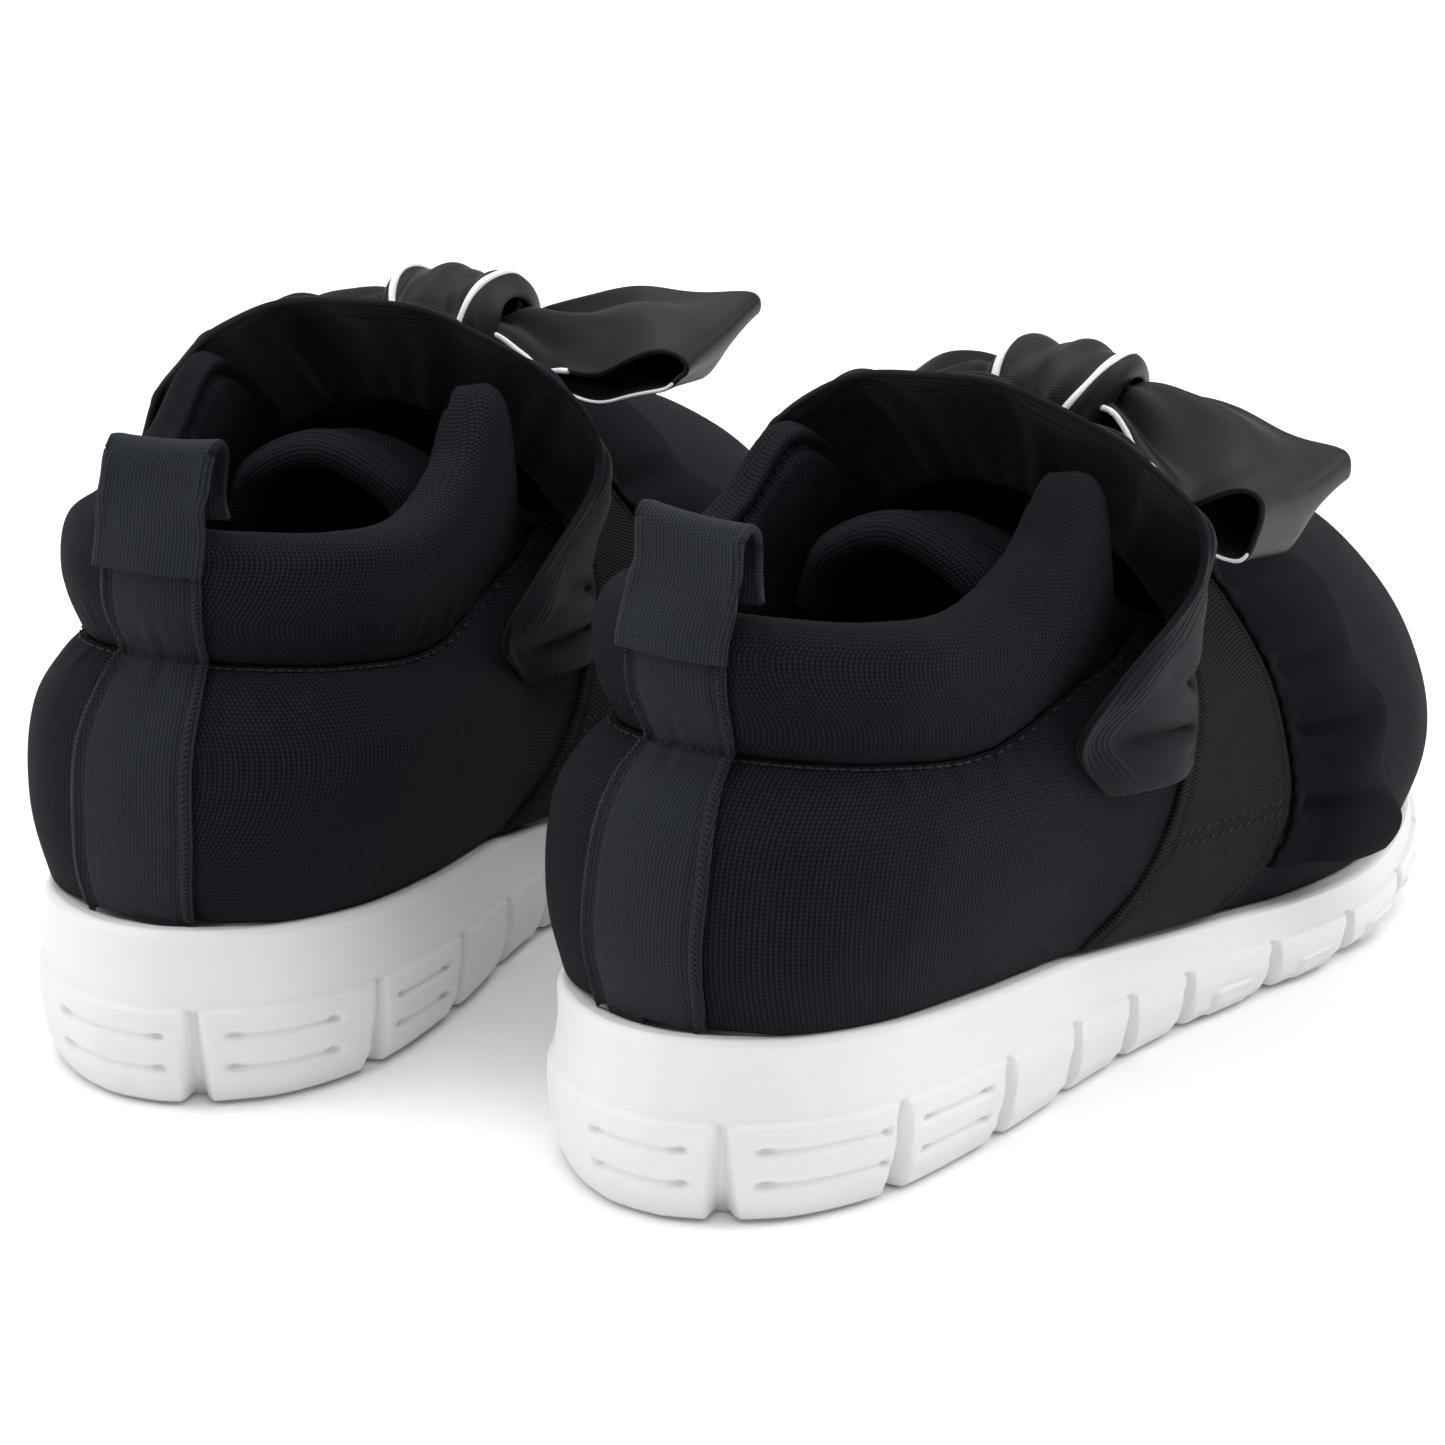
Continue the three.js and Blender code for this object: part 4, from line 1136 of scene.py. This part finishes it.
class SNEAKER_OT_tongue(bpy.types.Operator):
    """The padded tongue with a rolled, stitched edge"""
    bl_idname = "sneaker.tongue"
    bl_label = "Tongue"

    def execute(self, context):
        arches = [half + mirror(half[:-1][::-1]) for half in TONGUE_ARCHES]

        def surface(a, b):
            lines = np.stack([spline(arch, np.clip(b, 0, 1) * 4) for arch in arches], 1)
            return swung(across_points(lines, a))

        def place(a, b):
            # the first 0.4 rolls round the rear edge and runs back underneath
            back = np.clip(1 - a / 0.4, 0, 1)
            front = np.clip((a - 0.4) / 0.6, 0, 1)
            base = surface(front, b)
            edge = surface(0 * a, b)
            inward = surface(0 * a + 0.05, b)
            step = edge - inward
            step /= np.linalg.norm(step, axis=1, keepdims=True)
            facing = normals(surface, 0.01 + 0 * a, b)
            turn = math.pi * np.clip(back / 0.55, 0, 1)
            under = np.clip((back - 0.55) / 0.45, 0, 1)
            outward = 2.3 * np.sin(turn) - 9 * under
            down = 2.6 * (1 - np.cos(turn)) - 1.6 * bump(under, 0.35, 0.12) + 0.8 * under
            rolled = edge + step * outward[:, None] - facing * down[:, None]
            height = (1.3 * bump(front, 0.06, 0.1) - 1.6 * bump(front, 0.2, 0.035)
                      + bump(front, 0.32, 0.09))
            plain = base + normals(surface, np.clip(front, 0.01, 0.99), b) * height[:, None]
            return np.where((back > 0)[:, None], rolled, plain)

        bm = carried_grid(110, 64, place)
        hand_over(bm, "tongue", "knit", wall=1.2)
        return {"FINISHED"}


# ---- strap ----

class SNEAKER_OT_strap(bpy.types.Operator):
    """The ribbed elastic strap over the instep"""
    bl_idname = "sneaker.strap"
    bl_label = "Instep strap"

    def execute(self, context):
        def place(a, b):
            across = 0.008 + 0.984 * b
            from_edge = np.minimum(a, 1 - a)
            height = 1.9 - 0.45 * bump(from_edge, 0.085, 0.02) - 0.25 * bump(from_edge, 0.0, 0.03)
            low = np.minimum(across, 1 - across)
            height = height + 0.5 * ramp(low, 0.1, 0.13) - 1.1 * (1 - ramp(low, 0.0, 0.05))
            height = height - 0.3 * bump(low, 0.128, 0.006)
            return raised(over_shoe, STRAP_REAR + a, across, height)

        bm = carried_grid(56, 260, place)
        pieces = hand_over(bm, "instep_strap", "ribbed", wall=1.0, body="bend")
        return {"FINISHED"}


# ---- ruffles ----

def pleats(b, places, width):
    """Narrow valleys at places, as deep as 1."""
    return np.max([bump(b, place, width) for place in places], axis=0)


REAR_PLEATS = (0.062, 0.13, 0.215, 0.31, 0.43, 0.56, 0.68, 0.79, 0.89, 0.955)
FRONT_PLEATS = (0.075, 0.165, 0.245, 0.34, 0.44, 0.56, 0.66, 0.755, 0.835, 0.925)


class SNEAKER_OT_ruffles(bpy.types.Operator):
    """The standing rear ruffle and the flat front one"""
    bl_idname = "sneaker.ruffles"
    bl_label = "Ruffles"

    def execute(self, context):
        edge = REAR_RUFFLE_EDGE + mirror(REAR_RUFFLE_EDGE[:-1][::-1])
        last = len(edge) - 1

        def rear(a, b, slump):
            across = 0.2 + 0.6 * b
            station = STRAP_REAR + 0.03 + 0 * b
            sewn = raised(over_shoe, station, across, 1.9 + 0 * b)
            out = normals(over_shoe, station, across)
            free = swung(spline(edge, b * last))
            corner = 1 - ramp(np.minimum(b, 1 - b), 0.04, 0.2)
            lower = np.column_stack([2.0 * np.sign(b - 0.5), -4 + 0 * b, -1 + 0 * b])
            free += corner[:, None] * lower
            free[:, 2] -= 4.5 * bump(b, slump, 0.16)
            bulge = 4 * np.sin(math.pi * a)
            base = free + (sewn - free) * a[:, None]
            gathers = 0.3 * np.sin(b * 2 * math.pi * 30)
            gathers *= ramp(a, 0.6, 0.9) * (1 - ramp(a, 0.93, 1))
            valleys = -2.2 * pleats(b, REAR_PLEATS, 0.014)
            valleys *= ramp(a, 0.1, 0.45) * (1 - ramp(a, 0.9, 1.0))
            rolls = 1.3 * np.sin(b * 2 * math.pi * 9 + 0.6)
            rolls *= (1 - ramp(a, 0.5, 1.0)) * ramp(a, 0.0, 0.1)
            hem = 0.35 * (1 - ramp(a, 0.19, 0.21))
            return base + out * (bulge + gathers + valleys + rolls + hem)[:, None]

        for side in SIDES:
            bm = carried_grid(64, 300, lambda a, b: rear(a, b, RUFFLE_SLUMP[side]))
            pieces = hand_over(bm, "rear_ruffle", "hemmed", wall=1.2, offset=0.0,
                               sides=(side,))

        def front(a, b):
            across = 0.06 + 0.88 * b
            turn = 2 * math.pi * b
            edge_wave = 0.06 * np.sin(turn * 7 + 0.4) + 0.025 * np.sin(turn * 13)
            low = np.minimum(b, 1 - b)
            reach = 1.22 + edge_wave + 0.22 * bump(low, 0.03, 0.05) - 0.1 * bump(low, 0.14, 0.05)
            station = STRAP_FRONT + 0.03 + a * (reach + 0.07)
            depth = pleats(b, FRONT_PLEATS, 0.016)
            puff = 2.6 * np.sin(math.pi * np.clip(a * 0.8, 0, 1)) ** 0.7
            lift = 2.2 + puff + 1.5 * a + a * 0.9 * np.sin(turn * 7 + 1.2)
            lift = lift - 2.3 * depth * ramp(a, 0.0, 0.15) * (1 - ramp(a, 0.4, 0.95))
            lift = lift + 0.2 * np.sin(turn * 40) * (1 - ramp(a, 0.0, 0.2))
            return raised(over_shoe, station, across, lift)

        bm = carried_grid(56, 320, front)
        pieces = hand_over(bm, "front_ruffle", "ruffle", wall=1.1, offset=0.0, body="bend")
        return {"FINISHED"}


# ---- bow ----

def wing_point(side, t, d, tip, share, full):
    """One wing: t goes round its loop from the upper layer to the lower, d from its rear edge
    (0) to its front edge (1). The upper layer's rear edge hangs down and the front is shut. tip is
    the height of the loop's end against the knot, share how much of its reach it has and full how
    far it stands open."""
    outline = np.array(WING_UPPER + WING_LOWER, float)
    x, z = spline(outline, t * (len(outline) - 1)).T
    outer = side > 0
    lower = ramp(t, 0.46, 0.62)
    away = (d - 0.5) * 2
    depth = 7 + 8.5 * ramp(x, 11, 46)
    top = np.interp(x, *np.array(WING_UPPER).T)
    fall = 12.0 * ramp(x, 10, 24) * (1 - (0.95 if outer else 0.35) * ramp(x, 34, 53))
    drape = -fall * (1 - d) ** 2.2 * (1 - lower)
    shut = (top - z - 1.6) * lower * ramp(d, 0.45, 0.95)
    below = -2.2 * (1 - d) * lower * (0 if outer else 1) * ramp(x, 14, 30)
    crease = 1.9 * np.sin(away * 4.6 + (0.6 if outer else 2.2))
    crease *= (1 - ramp(x, 28, 50)) * ramp(x, 9, 16)
    fine = np.sin(away * 10 + x * 0.16) * 0.7 * (1 - ramp(x, 16, 42))
    soft = 1.1 * np.sin(x * 0.21 + away * 2.2) * ramp(x, 20, 40)
    droop = tip * ramp(x, 12, 53)
    sweep = 2.2 * np.sin(x / 53 * 2.4)
    tuck = 1.8 * (1 - d) ** 3 * bump(x, 20, 8) * (1 - lower)
    z = BOW_Z + full * (z + drape + shut + below) + crease + fine + soft + droop
    x = 9 + (x - 9) * share
    return np.column_stack([side * x + swing(BOW_Y), BOW_Y + away * depth - sweep + tuck, z])


class SNEAKER_OT_bow(bpy.types.Operator):
    """The ribbon bow: two looped wings and a gathered knot"""
    bl_idname = "sneaker.bow"
    bl_label = "Bow"

    def execute(self, context):
        for shoe in SIDES:
            for side, which in ((1, "lateral"), (-1, "medial")):
                self.wing(shoe, side, f"bow_wing_{which}", WINGS[shoe][which])

        def knot(a, b):
            x = (a * 2 - 1) * KNOT_HALF_WIDTH
            angle = 2 * math.pi * b
            folds = 1.1 * np.sin(a * 12.5 + 1.2 * np.sin(angle + 0.5))
            folds += 0.2 * np.sin(a * 31 + angle * 2)
            waist = 0.95 + 0.07 * np.abs(np.sin((a * 2 - 1) * math.pi))
            near_end = np.clip(np.abs(a * 2 - 1) - 0.8, 0, 0.2) / 0.2
            ends = np.sqrt(1 - 0.75 * near_end ** 2)
            reach = (folds + 0.4) * ramp(np.sin(angle), -0.9, 0.4)
            y = (11.3 * waist * ends + reach) * np.cos(angle)
            z = (8.6 * waist * ends + reach) * np.sin(angle)
            lean = 1.6 * np.sin(angle) * np.sin(angle * 0.5 + 0.4)
            return np.column_stack([x + lean + swing(BOW_Y), BOW_Y + y, BOW_Z + 0.6 + z])

        bm = carried_grid(90, 96, knot, merge=0.02)
        pieces = hand_over(bm, "bow_knot", "satin", wall=0.8, body="bend")
        for which, side in (("lateral", 1), ("medial", -1)):
            def line(a):
                angle = -0.1 + 0.62 * a
                up = np.clip(np.sin(2 * math.pi * angle), 0, 1)
                points = knot(0.5 + side * (0.26 + 0.17 * up), angle)
                middle = np.array([0, BOW_Y, BOW_Z])
                away = points - middle
                away[:, 0] = 0
                return points + 0.5 * away / np.linalg.norm(away, axis=1, keepdims=True)

            bm = tube(line, 0.75, 110, sides=8, across=(1, 0, 0))
            hand_over(bm, f"bow_knot_{which}_piping", "piping", (), body="bend")
        return {"FINISHED"}

    def wing(self, shoe, side, name, shape):
        def ribbon(a, b):
            return wing_point(side, a, b if side > 0 else 1 - b, *shape)

        pieces = hand_over(carried_grid(120, 48, ribbon), name, "satin", wall=0.9,
                           offset=0.0, body="bend", sides=(shoe,))
        for start, end, radius, which in ((0.01, 0.17, 0.55, "upper"), (0.60, 0.93, 0.32, "lower")):
            def rear_edge(a):
                return wing_point(side, start + (end - start) * a, a * 0, *shape)

            hand_over(tube(rear_edge, radius, 90, sides=8), f"{name}_{which}_piping", "piping",
                      (), body="bend", sides=(shoe,))


# ---- stitches ----

class SNEAKER_OT_stitches(bpy.types.Operator):
    """Sewn lines: collar seam, collar channel, heel tape, box stitch and strap"""
    bl_idname = "sneaker.stitches"
    bl_label = "Stitches"

    def execute(self, context):
        def between(low, high, t):
            return low + (high - low) * t

        def heel(station, b):
            return heel_surface(station, b, 0.0)

        bm = bmesh.new()
        seam = lambda t: quarter_point(between(-5.0, 5.0, t), 0.985 + 0 * t, 0.35)
        seam_out = lambda t: normals(round_shoe, between(-5.0, 5.0, t), 0 * t + 0.55)
        stitch_row(bm, seam, seam_out, 96, length=2.0, width=0.5, height=0.5)
        channel = lambda t: collar_surface(between(-5.2, 5.2, t), CHANNEL + 0 * t, 0.15)
        channel_out = lambda t: normals(collar_point, between(-5.2, 5.2, t), 0 * t + CHANNEL)
        stitch_row(bm, channel, channel_out, 92, length=1.9, width=0.5, height=0.4)
        for at, edge in ((0.115, 0.05), (0.885, 0.95)):
            line = lambda t: tape_point(0 * t + at, 0.01 + 0.86 * t, 0.12)
            out = lambda t: normals(heel, 0 * t + (at - 0.5), 0.01 + 0.86 * t)
            stitch_row(bm, line, out, 34, length=1.7, width=0.42, height=0.4)
            cord = lambda t: tape_point(0 * t + edge, 0.01 + 0.96 * t, 0.1)
            stitch_row(bm, cord, out, 84, length=1.5, width=0.42, height=0.35, lean=1.4)
        for height in (TAPE_LENGTH_SHARE + 0.002, 0.855):
            line = lambda t: tape_point(0.1 + 0.8 * t, 0 * t + height, 0.2)
            out = lambda t: normals(heel, -0.4 + 0.8 * t, 0 * t + height)
            stitch_row(bm, line, out, 9, length=1.7, width=0.5, height=0.45)
        hand_over(bm, "quarter_stitches", "thread", ())

        bm = bmesh.new()
        rows = [((at, at), ends, 1.8, 40, {"width": 0.4, "height": 0.3})
                for at in (0.085, 0.915) for ends in ((0.02, 0.44), (0.56, 0.98))]
        box = {"width": 0.45, "height": 0.4, "lean": 0.6}
        rows += [((0.1, 0.9), (across, across), 2.3, 13, box)
                 for across in (0.122, 0.134, 0.866, 0.878)]
        for along, over, lift, count, size in rows:
            path = lambda t: (STRAP_REAR + between(*along, t), between(*over, t))
            line = lambda t: raised(over_shoe, *path(t), lift + 0 * t)
            out = lambda t: normals(over_shoe, *path(t))
            stitch_row(bm, line, out, count, length=1.5, **size)
        hand_over(bm, "strap_stitches", "thread", (), body="bend")
        return {"FINISHED"}


# ---- the stage ----
CAMERA_TARGET = (0.0006, -0.0001, 0.0405)
CAMERA_AZIMUTH, CAMERA_ELEVATION = math.radians(29.57), math.radians(18.72)
CAMERA_DISTANCE = 0.7673
CAMERA_LENS = 107.4
LIGHTS = (  # name, place from the pair's middle, width and power
    ("top", (0.0, 0.1, 1.5), 2.2, 34), ("key", (-1.1, -0.7, 0.8), 0.9, 7),
    ("rim", (1.1, 0.9, 0.9), 0.9, 10),
)


class SNEAKER_OT_stage(bpy.types.Operator):
    """Pale floor, soft light and the camera"""
    bl_idname = "sneaker.stage"
    bl_label = "Stage"

    def execute(self, context):
        floor = bmesh.new()
        bmesh.ops.create_grid(floor, x_segments=1, y_segments=1, size=6)
        mesh = bpy.data.meshes.new("floor")
        floor.to_mesh(mesh)
        floor.free()
        obj = bpy.data.objects.new("floor", mesh)
        context.scene.collection.objects.link(obj)
        mesh.materials.append(foam_material("pale floor", (0.94, 0.94, 0.94), 0.9, 0.005))
        world = context.scene.world or bpy.data.worlds.new("studio")
        context.scene.world = world
        world.use_nodes = True
        sky = world.node_tree.nodes["Background"]
        sky.inputs["Color"].default_value = (1, 1, 1, 1)
        sky.inputs["Strength"].default_value = 0.5
        self.lights(context)
        self.camera(context)
        return {"FINISHED"}

    def lights(self, context):
        low, high = CAD_BOX
        middle = (Vector(low) + Vector(high)) / 2
        for name, place, size, power in LIGHTS:
            light = bpy.data.lights.new(name, "AREA")
            light.size = size
            light.energy = power
            lamp = bpy.data.objects.new(name, light)
            context.scene.collection.objects.link(lamp)
            lamp.location = middle + Vector(place)
            lamp.rotation_euler = (middle - lamp.location).to_track_quat("-Z", "Y").to_euler()

    def camera(self, context):
        level = math.cos(CAMERA_ELEVATION)
        back = Vector((math.sin(CAMERA_AZIMUTH) * level, -math.cos(CAMERA_AZIMUTH) * level,
                       math.sin(CAMERA_ELEVATION)))
        data = bpy.data.cameras.new("camera")
        data.sensor_width = 36
        data.lens = CAMERA_LENS
        camera = bpy.data.objects.new("camera", data)
        context.scene.collection.objects.link(camera)
        camera.location = Vector(CAMERA_TARGET) + back * CAMERA_DISTANCE
        camera.rotation_euler = (-back).to_track_quat("-Z", "Y").to_euler()
        context.scene.camera = camera
        context.scene.view_settings.view_transform = "Standard"


class SNEAKER_PT_panel(bpy.types.Panel):
    """Settings and steps of the sneaker pair"""
    bl_idname = "SNEAKER_PT_panel"
    bl_label = "Ruffle Sneakers"
    bl_space_type = "VIEW_3D"
    bl_region_type = "UI"
    bl_category = "Sneakers"

    def draw(self, context):
        for group in (context.scene.sneaker_sizes, context.scene.sneaker_colours):
            for name in group.bl_rna.properties.keys():
                if name not in {"rna_type", "name"}:
                    self.layout.prop(group, name)
        for step in STEPS:
            self.layout.operator(step.bl_idname)


STEPS = (
    SNEAKER_OT_stage, SNEAKER_OT_sole, SNEAKER_OT_footbed, SNEAKER_OT_quarters, SNEAKER_OT_vamp,
    SNEAKER_OT_linings, SNEAKER_OT_collar, SNEAKER_OT_tape, SNEAKER_OT_tongue, SNEAKER_OT_strap,
    SNEAKER_OT_ruffles, SNEAKER_OT_bow, SNEAKER_OT_stitches,
)
CLASSES = (SneakerColours, SneakerSizes, *STEPS, SNEAKER_PT_panel)


def register():
    for cls in CLASSES:
        bpy.utils.register_class(cls)
    bpy.types.Scene.sneaker_colours = bpy.props.PointerProperty(type=SneakerColours)
    bpy.types.Scene.sneaker_sizes = bpy.props.PointerProperty(type=SneakerSizes)


def unregister():
    del bpy.types.Scene.sneaker_sizes
    del bpy.types.Scene.sneaker_colours
    for cls in reversed(CLASSES):
        bpy.utils.unregister_class(cls)


def main():
    register()
    make_materials()
    for step in STEPS:
        area, name = step.bl_idname.split(".")
        getattr(getattr(bpy.ops, area), name)()


if __name__ == "__main__":
    main()
